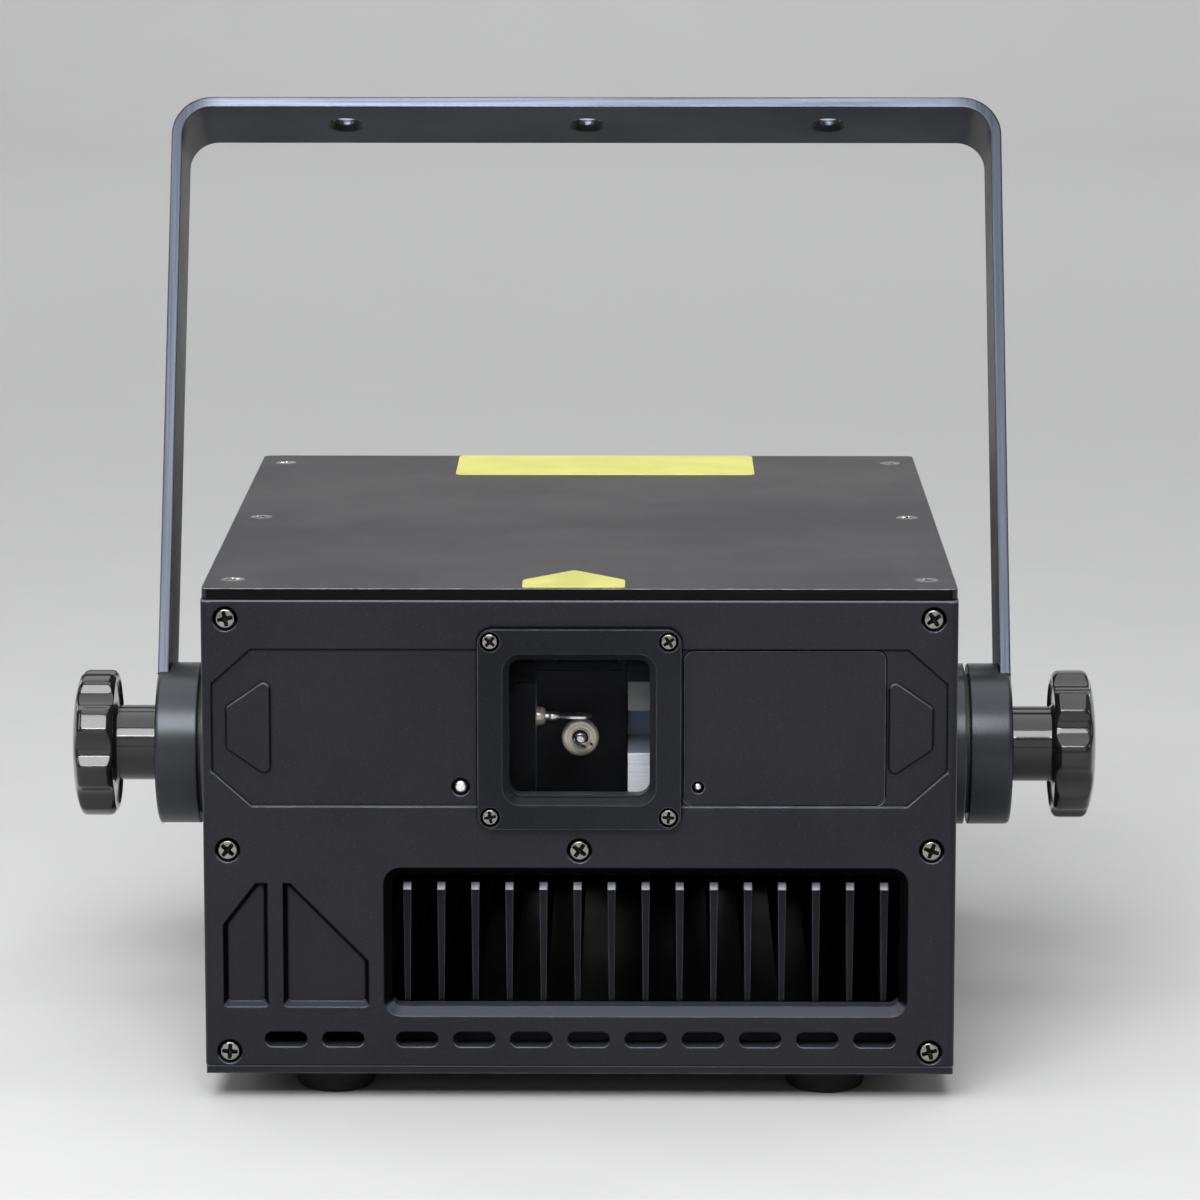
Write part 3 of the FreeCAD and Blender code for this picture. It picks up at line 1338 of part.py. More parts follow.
# Clamp knobs with their studs

for word, sign in both_sides:
    outline = [("knob_face", "stud_radius + bore_gap"), ("knob_face", "knob_hub_radius"),
               ("knob_under", "knob_hub_radius"), ("knob_under", "knob_under_radius"),
               ("knob_rim", "knob_rim_radius"), ("knob_dome", "knob_rim_radius"),
               ("knob_crown", "knob_dome_radius"), ("(knob_crown + knob_crown_long)", "0"),
               ("stud_outer_end", "0"), ("stud_outer_end", "stud_radius + bore_gap")]
    knob = spun(f"{word}_knob", [(f"{sign} * {x}", radius) for x, radius in outline])
    lobe_sketch = sketch(knob, f"{word}_lobe", "YZ_Plane", f"{sign} * knob_under",
                         circles=[("0", "lobe_centre", "lobe_radius")])
    lobe = pocket(knob, f"{word}_lobe_cut", lobe_sketch,
                  "2 * (knob_crown + knob_crown_long + overrun - knob_under)", centred=True)
    ring = knob.newObject("PartDesign::PolarPattern", f"{word}_lobe_ring")
    ring.Originals = [lobe]
    ring.Axis = (origin_feature(knob, "X_Axis"), [""])
    ring.Angle = 360
    bind(ring, Occurrences="knob_lobes")
    knob.Tip = ring
    knob.Placement = FreeCAD.Placement(FreeCAD.Vector(), FreeCAD.Rotation(FreeCAD.Vector(1, 0, 0), 1))
    bind(knob, **{"Placement.Rotation.Angle": f"{word}_knob_turn"})
    keep(place(knob, "0", "pivot_y", "pivot_z"))
    start = "stud_inner_end" if sign > 0 else "-stud_outer_end"
    keep(rod(f"{word}_knob_stud", "X", (start, "pivot_y", "pivot_z"),
             "stud_radius", "stud_outer_end - stud_inner_end"))

# Rear panel

back = new_body("rear_panel")
back_sketch = sketch(back, "back_outline", "XZ_Plane", "-rear_inner", polygons=[panel_corners])
pad(back, "back_pad", back_sketch, "rear_thick", backward=True)
dress(back, "Fillet", "back_edges", "edge_round",
      lambda edge: along(edge, 2) and at(edge.Vertexes[0].Point, 1, "rear"))
rear_bolts = [(f"({side} * bolt_across)", height) for side in (-1, 1) for height in rear_bolt_heights]
fan_words = ("left", "right")
fan_bolts = [(f"({word}_fan_across + {side} * fan_bolt_spread)", f"(fan_height + {rise} * fan_bolt_spread)")
             for word in fan_words for side in (-1, 1) for rise in (-1, 1)]
inlet_bolts = [(f"(inlet_across + {side} * inlet_bolt_spread)", "inlet_height") for side in (-1, 1)]
signal_words = ("in", "out")
signal_bolts = [(f"(signal_{word}_across + {side} * signal_bolt_across)",
                 f"(socket_height - {side} * signal_bolt_rise)") for word in signal_words for side in (-1, 1)]
bridge_far = "((bridge_span + bridge_thick + bridge_foot) / 2)"
bridge_bolts = [(f"(bridge_across + {side} * {bridge_far})", "menu_height") for side in (-1, 1)]
menu_posts = [("(menu_board_left + menu_post_radius)", "menu_height"),
              ("(menu_board_left + menu_board_wide - menu_post_radius)", "menu_height")]
buttons = [f"(button_first + {n} * button_pitch)" for n in range(4)]
round_cuts = [(x, z, "bolt_radius + hole_gap") for x, z in rear_bolts]
round_cuts += [(x, z, "small_radius + thread_gap")
               for x, z in fan_bolts + inlet_bolts + signal_bolts + bridge_bolts]
round_cuts += [(f"{word}_fan_across", "fan_height", "fan_bore_radius") for word in fan_words]
round_cuts += [(f"signal_{word}_across", "socket_height", "signal_shell_radius + hole_gap")
               for word in signal_words]
round_cuts += [("lock_across", "socket_height", "lock_body_radius + hole_gap"),
               ("link_across", "socket_height", "link_body_radius + hole_gap")]
round_cuts += [(x, "menu_height", "button_radius + turn_gap") for x in buttons]


def window(across, height, wide, tall, corner, gap="hole_gap"):
    return (f"{across} - {wide} / 2 - {gap}", f"{across} + {wide} / 2 + {gap}",
            f"{height} - {tall} / 2 - {gap}", f"{height} + {tall} / 2 + {gap}", corner)


square_cuts = [window("inlet_across", "inlet_height", "inlet_body_wide", "inlet_body_tall", "cutout_round"),
               window("inlet_across", "rocker_height", "(rocker_cavity_wide + 2 * rocker_wall)",
                      "(rocker_cavity_tall + 2 * rocker_wall)", "cutout_round"),
               window("data_across", "socket_height", "data_shell_top", "data_shell_tall", "cutout_round"),
               window("display_across", "menu_height", "display_wide", "display_tall", "cutout_round")]
pocket(back, "back_cuts", sketch(back, "back_holes", "XZ_Plane", "-rear_inner", circles=round_cuts,
                                 rounds=square_cuts), "rear_thick + overrun")
keep(back)
panel_screws += [headed(f"rear_screw_{n}", "Y", (x, "rear", z), -1, "bolt_radius", "bolt_long",
                        "head_radius", "head_tall") for n, (x, z) in enumerate(rear_bolts)]
keep(group("panel_screws", panel_screws))

# Fans: frame inside, guard outside, rotor between

frames = []
guards = []
for word in fan_words:
    across = f"{word}_fan_across"
    half = "fan_span / 2"
    wide = (f"({across} - {half})", f"({across} + {half})")
    tall = (f"(fan_height - {half})", f"(fan_height + {half})")
    frame = box(f"{word}_fan_block", wide, ("fan_inner", "rear_inner"), tall)
    throat = rod(f"{word}_fan_throat", "Y", (across, "fan_inner - overrun", "fan_height"),
                 "fan_bore_radius", "fan_thick + 2 * overrun")
    holes = [rod(f"{word}_fan_hole_{n}", "Y", (x, "rear_inner - small_long", z),
                 "small_radius + thread_gap", "small_long + overrun")
             for n, (x, z) in enumerate(fan_bolts) if (n < 4) == (word == "left")]
    motor_span = ("fan_inner", "(fan_inner + fan_motor_thick)")
    motor = rod(f"{word}_fan_motor", "Y", (across, "fan_inner", "fan_height"),
                "fan_hub_radius", "fan_motor_thick")
    bars = [box(f"{word}_fan_bar_x", wide, motor_span,
                ("(fan_height - strut_wide / 2)", "(fan_height + strut_wide / 2)")),
            box(f"{word}_fan_bar_z", (f"({across} - strut_wide / 2)", f"({across} + strut_wide / 2)"),
                motor_span, tall)]
    frames.append(fuse(f"{word}_fan_frame", [cut(f"{word}_fan_case", frame, [throat] + holes), motor] + bars))

    rings = []
    for n in range(int(value("guard_ring_count"))):
        radius = f"(guard_ring_first + {n} * guard_ring_pitch)"
        outer_disc = rod(f"{word}_guard_outer_{n}", "Y", (across, "rear", "fan_height"),
                         f"{radius} + guard_ring_wide / 2", "guard_thick")
        inner_disc = rod(f"{word}_guard_inner_{n}", "Y", (across, "rear - overrun", "fan_height"),
                         f"{radius} - guard_ring_wide / 2", "guard_thick + 2 * overrun")
        rings.append(cut(f"{word}_guard_ring_{n}", outer_disc, [inner_disc]))
    for n, turn in enumerate((45, 135)):
        bar = box(f"{word}_guard_bar_{n}", ("-fan_bolt_spread * sqrt(2) - guard_bar_wide",
                                            "fan_bolt_spread * sqrt(2) + guard_bar_wide"),
                  ("0", "guard_thick"), ("-guard_bar_wide", "guard_bar_wide"))
        turned = group(f"{word}_guard_turned_{n}", [bar])
        turned.Placement = FreeCAD.Placement(
            FreeCAD.Vector(), FreeCAD.Rotation(FreeCAD.Vector(0, 1, 0), turn))
        rings.append(place(turned, across, "rear", "fan_height"))
    guard_holes = [rod(f"{word}_guard_hole_{n}", "Y", (x, "rear - overrun", z),
                       "small_radius + hole_gap", "guard_thick + 2 * overrun")
                   for n, (x, z) in enumerate(fan_bolts) if (n < 4) == (word == "left")]
    guards.append(cut(f"{word}_guard", fuse(f"{word}_guard_solid", rings), guard_holes))

    rotor_start = "(fan_inner + fan_motor_thick + turn_gap)"
    hub = rod(f"{word}_rotor_hub", "Y", (across, rotor_start, "fan_height"),
              "fan_hub_radius", "fan_rotor_long")
    blades = []
    count = int(value("fan_blade_count"))
    for n in range(count):
        blade = box(f"{word}_blade_{n}", ("0", "(fan_blade_tip + overrun)"),
                    ("(-fan_blade_chord / 2)", "(fan_blade_chord / 2)"),
                    ("(-fan_blade_thick / 2)", "(fan_blade_thick / 2)"))
        pitched = group(f"{word}_blade_pitched_{n}", [blade])
        pitched.Placement = FreeCAD.Placement(
            FreeCAD.Vector(), FreeCAD.Rotation(FreeCAD.Vector(0, 1, 0), 360 * n / count)
            * FreeCAD.Rotation(FreeCAD.Vector(1, 0, 0), value("fan_blade_pitch")))
        blades.append(place(pitched, across, f"{rotor_start} + fan_rotor_long / 2", "fan_height"))
    sweep = rod(f"{word}_blade_limit", "Y", (across, rotor_start, "fan_height"),
                "fan_blade_tip", "fan_rotor_long")
    whole = fuse(f"{word}_rotor_whole", [hub] + blades)
    rotor = doc.addObject("Part::Common", f"{word}_fan_rotor")
    rotor.Base = whole
    rotor.Tool = sweep
    keep(rotor)
keep(group("fan_frames", frames))
keep(group("fan_guards", guards))

# Power inlet and rocker switch



def flanged(name, across, height, wide, tall):
    return box(name, (f"({across} - {wide} / 2)", f"({across} + {wide} / 2)"), ("rear", "flange_end"),
               (f"({height} - {tall} / 2)", f"({height} + {tall} / 2)"))


def inward(name, across, height, wide, tall, deep, end):
    return box(name, (f"({across} - {wide} / 2)", f"({across} + {wide} / 2)"), (f"({end} - {deep})", end),
               (f"({height} - {tall} / 2)", f"({height} + {tall} / 2)"))


def bolt_holes(name, spots):
    return [rod(f"{name}_{n}", "Y", (x, "rear - overrun", z), "small_radius + hole_gap",
                "flange_thick + 2 * overrun") for n, (x, z) in enumerate(spots)]


inlet_solid = fuse("inlet_solid", [
    flanged("inlet_flange", "inlet_across", "inlet_height", "inlet_flange_wide", "inlet_flange_tall"),
    inward("inlet_body", "inlet_across", "inlet_height", "inlet_body_wide", "inlet_body_tall",
           "inlet_body_deep", "rear")])
inlet_cavity = inward("inlet_cavity", "inlet_across", "inlet_height", "inlet_cavity_wide",
                      "inlet_cavity_tall", "(inlet_cavity_deep + overrun)", "(flange_end + overrun)")
inlet_shell = cut("inlet_shell", inlet_solid, [inlet_cavity] + bolt_holes("inlet_bolt_hole", inlet_bolts))
contacts = []
for n, side in enumerate((-1, 0, 1)):
    across = f"(inlet_across + {side} * blade_spread)"
    height = "(inlet_height - blade_tall / 2)" if side else "(inlet_height + blade_tall / 2)"
    contacts.append(inward(f"inlet_contact_{n}", across, height, "blade_wide", "blade_tall",
                           "(blade_long + overrun)", "(flange_end - inlet_cavity_deep + blade_long)"))
keep(fuse("power_inlet", [inlet_shell] + contacts))

rocker_body = inward("rocker_body", "inlet_across", "rocker_height", "(rocker_cavity_wide + 2 * rocker_wall)",
                     "(rocker_cavity_tall + 2 * rocker_wall)", "rocker_body_deep", "rear")
rocker_flange = flanged("rocker_flange", "inlet_across", "rocker_height",
                        "rocker_flange_wide", "rocker_flange_tall")
rocker_cavity = inward("rocker_cavity", "inlet_across", "rocker_height", "rocker_cavity_wide",
                       "rocker_cavity_tall", "(rocker_body_deep + flange_thick - rocker_wall + overrun)",
                       "(flange_end + overrun)")
keep(cut("rocker_frame", fuse("rocker_solid", [rocker_body, rocker_flange]), [rocker_cavity]))
rocker_points = [("-rocker_half_long", "flange_end + rocker_proud"),
                 ("0", "flange_end + rocker_proud - rocker_dip"),
                 ("rocker_half_long", "flange_end"), ("rocker_half_long", "rear - rocker_back / 2"),
                 ("rocker_foot", "rear - rocker_back"), ("-rocker_foot", "rear - rocker_back"),
                 ("-rocker_half_long", "rear - rocker_back / 2")]
keep(slab("rocker", "XY_Plane", "rocker_height - rocker_wide / 2", "rocker_wide",
          polygons=[[(f"inlet_across + {x}", y) for x, y in rocker_points]]))

# Signal sockets

for word in ("in", "out"):
    across = f"signal_{word}_across"
    shell = fuse(f"signal_{word}_solid", [
        flanged(f"signal_{word}_flange", across, "socket_height", "signal_flange_wide", "signal_flange_tall"),
        rod(f"signal_{word}_shell", "Y", (across, "rear - signal_shell_deep", "socket_height"),
            "signal_shell_radius", "signal_shell_deep")])
    holes = bolt_holes(f"signal_{word}_bolt_hole", signal_bolts[:2] if word == "in" else signal_bolts[2:])
    well_floor = "(flange_end - signal_cavity_deep)"
    ring = [("0", "-contact_ring"), ("-contact_ring", "0"), ("contact_ring", "0")]
    if word == "in":
        well = rod("signal_in_well", "Y", (across, well_floor, "socket_height"), "signal_cavity_radius",
                   "signal_cavity_deep + overrun")
        prongs = [rod(f"signal_in_prong_{n}", "Y",
                      (f"{across} + {x}", f"{well_floor} - overrun", f"socket_height + {z}"),
                      "contact_radius", "contact_long + overrun") for n, (x, z) in enumerate(ring)]
        keep(fuse("signal_input", [cut("signal_in_shelled", shell, [well] + holes)] + prongs))
    else:
        wells = [rod(f"signal_out_well_{n}", "Y", (f"{across} + {x}", well_floor, f"socket_height + {z}"),
                     "contact_radius", "signal_cavity_deep + overrun") for n, (x, z) in enumerate(ring)]
        groove_outer = rod("signal_groove_outer", "Y", (across, well_floor, "socket_height"),
                           "signal_cavity_radius", "signal_cavity_deep + overrun")
        groove_inner = rod("signal_groove_inner", "Y", (across, f"{well_floor} - overrun", "socket_height"),
                           "signal_cavity_radius - contact_radius", "signal_cavity_deep + 3 * overrun")
        groove = cut("signal_out_groove", groove_outer, [groove_inner])
        keep(cut("signal_output", shell, [groove] + wells + holes))

data_low = "(socket_height - data_shell_tall / 2)"
data_high = "(socket_height + data_shell_tall / 2)"
data_flange = box("data_flange", ("data_across - data_flange_wide / 2", "data_across + data_flange_wide / 2"),
                  ("rear", "(rear + data_flange_thick)"),
                  ("(socket_height - data_flange_tall / 2)", "(socket_height + data_flange_tall / 2)"))


def d_outline(inset):
    """The socket's outline, wider at the top, drawn inward by the inset."""
    low_half = f"(data_shell_low / 2 - {inset})"
    high_half = f"(data_shell_top / 2 - {inset})"
    low, high = f"{data_low} + {inset}", f"{data_high} - {inset}"
    return [[(f"data_across - {low_half}", low), (f"data_across + {low_half}", low),
             (f"data_across + {high_half}", high), (f"data_across - {high_half}", high)]]


data_shell = slab("data_shell", "XZ_Plane", "-(rear - data_body_deep)", "data_body_deep + data_shell_proud",
                  backward=True, polygons=d_outline("0"))
data_cavity = slab("data_cavity", "XZ_Plane", "-(rear + overrun)", "data_shell_proud", backward=True,
                   polygons=d_outline("data_cavity_inset"))
data_posts = [rod(f"data_post_{n}", "Y",
                  (f"data_across + {side} * data_post_spread", "rear", "socket_height"),
                  "data_post_radius", "data_shell_proud") for n, side in enumerate((-1, 1))]
data_hollow = cut("data_hollow", fuse("data_solid", [data_flange, data_shell]), [data_cavity])
keep(fuse("show_data_socket", [data_hollow] + data_posts))

lock_solid = fuse("lock_solid", [
    rod("lock_ring", "Y", ("lock_across", "rear", "socket_height"), "lock_ring_radius", "lock_ring_proud"),
    rod("lock_body", "Y", ("lock_across", "rear - lock_body_deep", "socket_height"), "lock_body_radius",
        "lock_body_deep")])
barrel_start = "(rear + lock_ring_proud - barrel_key_deep)"
lock_bore = rod("lock_bore", "Y", ("lock_across", barrel_start, "socket_height"),
                "barrel_key_radius + lock_gap", "barrel_key_deep + overrun")
keep(cut("key_switch", lock_solid, [lock_bore]))
key_round = rod("key_barrel_round", "Y", ("lock_across", f"{barrel_start} + turn_gap", "socket_height"),
                "barrel_key_radius", "barrel_key_deep - turn_gap")
key_slot = box("key_slot", ("lock_across - key_slot_wide / 2", "lock_across + key_slot_wide / 2"),
               ("(rear + lock_ring_proud - key_slot_deep)", "(rear + lock_ring_proud + overrun)"),
               ("(socket_height - key_slot_tall / 2)", "(socket_height + key_slot_tall / 2)"))
keep(cut("key_barrel", key_round, [key_slot]))

link_solid = fuse("link_solid", [
    rod("link_ring", "Y", ("link_across", "rear", "socket_height"), "link_ring_radius", "link_ring_proud"),
    rod("link_body", "Y", ("link_across", "rear - link_body_deep", "socket_height"), "link_body_radius",
        "link_body_deep")])
link_hole = rod("link_hole", "Y", ("link_across", "rear + link_ring_proud - link_hole_deep", "socket_height"),
                "link_hole_radius", "link_hole_deep + overrun")
keep(cut("interlock_socket", link_solid, [link_hole]))

# Menu: display on its board, four buttons

menu_back = "(rear_inner - menu_board_gap)"
menu_card = box("menu_card", ("menu_board_left", "(menu_board_left + menu_board_wide)"),
                (f"({menu_back} - menu_board_thick)", menu_back),
                ("(menu_height - menu_board_tall / 2)", "(menu_height + menu_board_tall / 2)"))
screen = box("menu_screen", ("(display_across - display_wide / 2)", "(display_across + display_wide / 2)"),
             (menu_back, "rear"), ("(menu_height - display_tall / 2)", "(menu_height + display_tall / 2)"))
posts = [rod(f"menu_post_{n}", "Y", (x, menu_back, z), "menu_post_radius", "menu_board_gap")
         for n, (x, z) in enumerate(menu_posts)]
keep(fuse("menu_display", [menu_card, screen] + posts))
for n, x in enumerate(buttons, start=1):
    cap = rod(f"button_cap_{n}", "Y", (x, "rear_inner", "menu_height"),
              "button_radius", "rear_thick + button_proud")
    rim = rod(f"button_rim_{n}", "Y", (x, "rear_inner - button_rim_thick", "menu_height"),
              "button_rim_radius", "button_rim_thick")
    keep(fuse(f"menu_button_{n}", [cap, rim]))

# Safety cable bridge

half_span = "(bridge_span / 2)"
foot_end = "(bridge_span / 2 + bridge_foot)"
foot_out = "(rear + bridge_thick)"
leg_out = f"({half_span} + bridge_thick)"
half_hat = [(half_span, "bridge_in"), (half_span, "rear"), (foot_end, "rear"), (foot_end, foot_out),
            (leg_out, foot_out), (leg_out, "bridge_out")]
hat = half_hat + [(f"-{x}", y) for x, y in reversed(half_hat)]
bridge = slab("bridge_bent", "XY_Plane", "menu_height - bridge_wide / 2", "bridge_wide",
              polygons=[[(f"bridge_across + {x}", y) for x, y in hat]])
bridge_holes = [rod(f"bridge_hole_{n}", "Y", (x, "rear - overrun", z), "small_radius + hole_gap",
                    "bridge_thick + 2 * overrun") for n, (x, z) in enumerate(bridge_bolts)]
keep(cut("safety_bridge", bridge, bridge_holes))

seats = [(fan_bolts, "guard_thick"), (inlet_bolts + signal_bolts, "flange_thick"),
         (bridge_bolts, "bridge_thick")]
for number, (spots, seat_height) in enumerate(seats):
    for n, (x, z) in enumerate(spots):
        small_screws.append(headed(f"rear_small_screw_{number}_{n}", "Y",
                                   (x, f"(rear + {seat_height})", z), -1, "small_radius", "small_long",
                                   "small_head_radius", "small_head_tall"))
keep(group("small_screws", small_screws))

# Check and write every sub-part

doc.recompute()
for item in doc.Objects:
    faults = [state for state in item.State if state in ("Invalid", "Error")]
    if faults:
        raise RuntimeError(f"{item.Name}: {faults}")
for item in nodes:
    shape = item.Shape
    if shape.isNull() or not shape.isValid() or not shape.Solids:
        raise RuntimeError(f"{item.Label} has no valid solid")
    shape.exportStep(f"parts/{item.Label}.step")
print(len(nodes), "sub-parts written")
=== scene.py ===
import math
import bpy
import bmesh
import numpy as np
from mathutils import Euler, Matrix, Vector


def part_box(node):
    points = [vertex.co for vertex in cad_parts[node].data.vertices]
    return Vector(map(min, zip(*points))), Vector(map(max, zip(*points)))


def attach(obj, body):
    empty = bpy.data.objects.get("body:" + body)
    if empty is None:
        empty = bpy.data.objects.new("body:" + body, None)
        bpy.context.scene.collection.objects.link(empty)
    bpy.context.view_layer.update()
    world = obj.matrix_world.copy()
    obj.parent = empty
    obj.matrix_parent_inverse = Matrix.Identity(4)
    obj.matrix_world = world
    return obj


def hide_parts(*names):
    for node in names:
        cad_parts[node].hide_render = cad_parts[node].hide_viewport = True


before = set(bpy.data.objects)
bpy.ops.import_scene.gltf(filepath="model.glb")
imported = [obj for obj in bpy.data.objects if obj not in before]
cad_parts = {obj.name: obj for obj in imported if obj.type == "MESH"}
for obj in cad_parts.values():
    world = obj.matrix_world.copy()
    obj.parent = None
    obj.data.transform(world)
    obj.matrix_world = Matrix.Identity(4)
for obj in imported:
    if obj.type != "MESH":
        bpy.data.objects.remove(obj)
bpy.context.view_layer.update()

# lengths in the dictionaries are millimetres, angles are degrees; a shape takes its dictionary's values by name
mm = 0.001
scene = bpy.context.scene
print("frame loaded:", len(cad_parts), "nodes")

pivot = {"y": -4.5, "z": 95.5}
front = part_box("front_panel")[0].y / mm
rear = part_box("rear_panel")[1].y / mm
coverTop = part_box("top_cover")[1].z / mm
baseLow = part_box("base_plate")[0].z / mm
towardFront, towardRear, upwards, downwards = (0, -1, 0), (0, 1, 0), (0, 0, 1), (0, 0, -1)
acrossX = (1, 0, 0)


# finishes

def addNode(tree, kind, links=None, **settings):
    made = tree.nodes.new(kind)
    for key, setting in settings.items():
        setattr(made, key, setting)
    for key, source in (links or {}).items():
        socket = made.inputs[key]
        if isinstance(source, bpy.types.NodeSocket):
            tree.links.new(source, socket)
        else:
            socket.default_value = source
    return made


finishes = {}


# pieces find a finish by its name
def newFinish(name, metallic=0.0, **sockets):
    finishes[name] = material = bpy.data.materials.new(name)
    material.use_nodes = True
    shader = material.node_tree.nodes["Principled BSDF"]
    for key, setting in {"Metallic": metallic, **sockets}.items():
        shader.inputs[key.replace("_", " ")].default_value = setting
    return material.node_tree, shader


# links each source to the shader's socket of that name
def feed(shader, **sources):
    for key, source in sources.items():
        shader.id_data.links.new(source, shader.inputs[key.replace("_", " ")])


def fedBy(shader, key):
    return shader.inputs[key].links[0].from_socket


def objectCoords(tree, stretch=(1, 1, 1)):
    coords = addNode(tree, "ShaderNodeTexCoord").outputs["Object"]
    if stretch == (1, 1, 1):
        return coords
    return addNode(tree, "ShaderNodeMapping", {0: coords, 3: stretch}).outputs[0]


def turnCoords(tree, stretch):
    coords = addNode(tree, "ShaderNodeUVMap", uv_map="turn").outputs[0]
    return addNode(tree, "ShaderNodeMapping", {0: coords, 3: stretch}).outputs[0]


def grain(coords, scale, detail=2.0, rough=0.5):
    return addNode(coords.id_data, "ShaderNodeTexNoise", {"Vector": coords, "Scale": scale, "Detail": detail,
                                                          "Roughness": rough}).outputs[0]


def ranged(source, low, high, outLow, outHigh):
    return addNode(source.id_data, "ShaderNodeMapRange", {0: source, 1: low, 2: high, 3: outLow, 4: outHigh},
                   interpolation_type="SMOOTHSTEP").outputs[0]


def combined(tree, kind, first, second):
    return addNode(tree, "ShaderNodeMath", {0: first, 1: second}, operation=kind, use_clamp=True).outputs[0]


def times(first, second):
    return combined(first.id_data, "MULTIPLY", first, second)


def greater(first, second):
    return combined(first.id_data, "MAXIMUM", first, second)


def rest(share):
    return combined(share.id_data, "SUBTRACT", 1.0, share)


def mixed(share, first, second):
    ends = [end if isinstance(end, bpy.types.NodeSocket) else (*end, 1.0) for end in (first, second)]
    return addNode(share.id_data, "ShaderNodeMix", {0: share, 6: ends[0], 7: ends[1]}, data_type="RGBA").outputs[2]


# the rounded normal, and how far it turns from the flat one, which is high only along edges
def roundedEdge(tree, reach):
    rounded = addNode(tree, "ShaderNodeBevel", {"Radius": reach}, samples=6).outputs[0]
    flat = addNode(tree, "ShaderNodeNewGeometry").outputs["Normal"]
    match = addNode(tree, "ShaderNodeVectorMath", {0: rounded, 1: flat}, operation="DOT_PRODUCT").outputs["Value"]
    return rounded, ranged(match, 0.80, 0.995, 1.0, 0.0)


# how squarely the surface faces one direction, or with bothWays its opposite too, in the piece's own frame
def facing(tree, direction, low, high, bothWays=False, own=None):
    own = own or addNode(tree, "ShaderNodeTexCoord").outputs["Normal"]
    match = addNode(tree, "ShaderNodeVectorMath", {0: own, 1: direction}, operation="DOT_PRODUCT").outputs["Value"]
    if bothWays:
        match = addNode(tree, "ShaderNodeMath", {0: match}, operation="ABSOLUTE").outputs[0]
    return ranged(match, low, high, 0.0, 1.0)


def setBump(shader, height, strength, depth, **normal):
    bump = addNode(shader.id_data, "ShaderNodeBump", {"Height": height, "Strength": strength, "Distance": depth * mm,
                                                      **normal})
    feed(shader, Normal=bump.outputs[0])


# painted shade: high in inside corners and along seams, where little of the sky shows within the reach
def creases(tree, reach):
    sky = addNode(tree, "ShaderNodeAmbientOcclusion", {"Distance": reach * mm}, samples=6)
    return ranged(sky.outputs["AO"], 0.58, 0.96, 1.0, 0.0)


# distance from the middle plane of the body, in metres
def acrossBody(tree):
    across = addNode(tree, "ShaderNodeSeparateXYZ", {0: objectCoords(tree)}).outputs[0]
    return addNode(tree, "ShaderNodeMath", {0: across}, operation="ABSOLUTE").outputs[0]


# dark satin metal: fine blasted grain, slow patches in the sheen, edges lightened by wear and a painted highlight,
# painted shade in seams and inside corners;
# with "inner" the walls of the recesses inside that half width get painted shade, and their upward ledges a painted
# highlight;
# with "brow" the face towards the front gets painted shade near black, and with "lip" a thin painted highlight line
# runs at that height
def darkMetal(name, base, **changes):
    look = {**base, **changes}
    tree, shader = newFinish(name, look["metallic"], Specular_Tint=look["tint"], Specular_IOR_Level=look["shine"])
    coords = objectCoords(tree)
    patches = grain(coords, look["patch"], 4.0, 0.55)
    fine = grain(coords, look["grain"], 2.0, 0.6)
    speck = ranged(grain(coords, look["grain"] * 0.37, 1.0), 0.62, 0.74, 0.0, 0.35)
    body = mixed(ranged(patches, 0.3, 0.7, 0.0, 1.0), look["dark"], look["light"])
    body = mixed(speck, body, look["speck"])
    reach, shade = look["edge"] * mm, creases(tree, look["seam"])
    if "inner" in look:
        across, border = acrossBody(tree), (look["inner"] * mm, (look["inner"] + 1.0) * mm)
        reach = ranged(across, *border, reach, look["rim"] * mm)
    rounded, edges = roundedEdge(tree, reach)
    # edges lighten by uneven wear and a painted highlight
    worn = ranged(grain(coords, 160.0, 3.0), 0.35, 0.65, look["rub"] * 0.5, look["rub"])
    rub = times(times(edges, worn), rest(shade))
    if "inner" in look:
        # painted shade on the sideways walls of the recesses and a painted highlight on their upward ledges; the edge
        # highlight stays only where edges turn up
        upward = facing(tree, upwards, 0.08, 0.40, own=rounded)
        sideways = rest(facing(tree, towardFront, 0.80, 0.98, own=rounded))
        wall = times(times(sideways, rest(upward)), ranged(across, *border, 1.0, 0.0))
        shade = greater(times(shade, rest(upward)), wall)
        body = mixed(times(sideways, upward), body, look["ledge"])
        rub = times(rub, upward)
    if "brow" in look:
        # painted shade: faces towards the front go near black
        brow = times(facing(tree, towardFront, 0.85, 0.97), look["brow"])
        shade = greater(shade, times(brow, rest(edges)))
    body = mixed(rub, body, look["rubbed"])
    if "lip" in look:
        # a painted highlight line near the given height, on faces that don't look up
        height = addNode(tree, "ShaderNodeSeparateXYZ", {0: coords}).outputs[2]
        lip = ranged(height, (look["lip"] - 0.75) * mm, (look["lip"] - 0.45) * mm, 0.0, 1.0)
        lip = times(lip, rest(facing(tree, upwards, 0.5, 0.9)))
        body = mixed(lip, body, look["lipLight"])
        shade = times(shade, rest(lip))
    # the painted shade goes near black and metallic, which takes away its reflection too
    shade = times(shade, 0.93)
    feed(shader, Base_Color=mixed(shade, body, (0.002, 0.002, 0.002)),
         Metallic=greater(shade, look["metallic"]),
         Roughness=ranged(patches, 0.25, 0.75, *look["rough"]))
    setBump(shader, fine, look["bump"], 0.02, Normal=rounded)
    return tree, shader
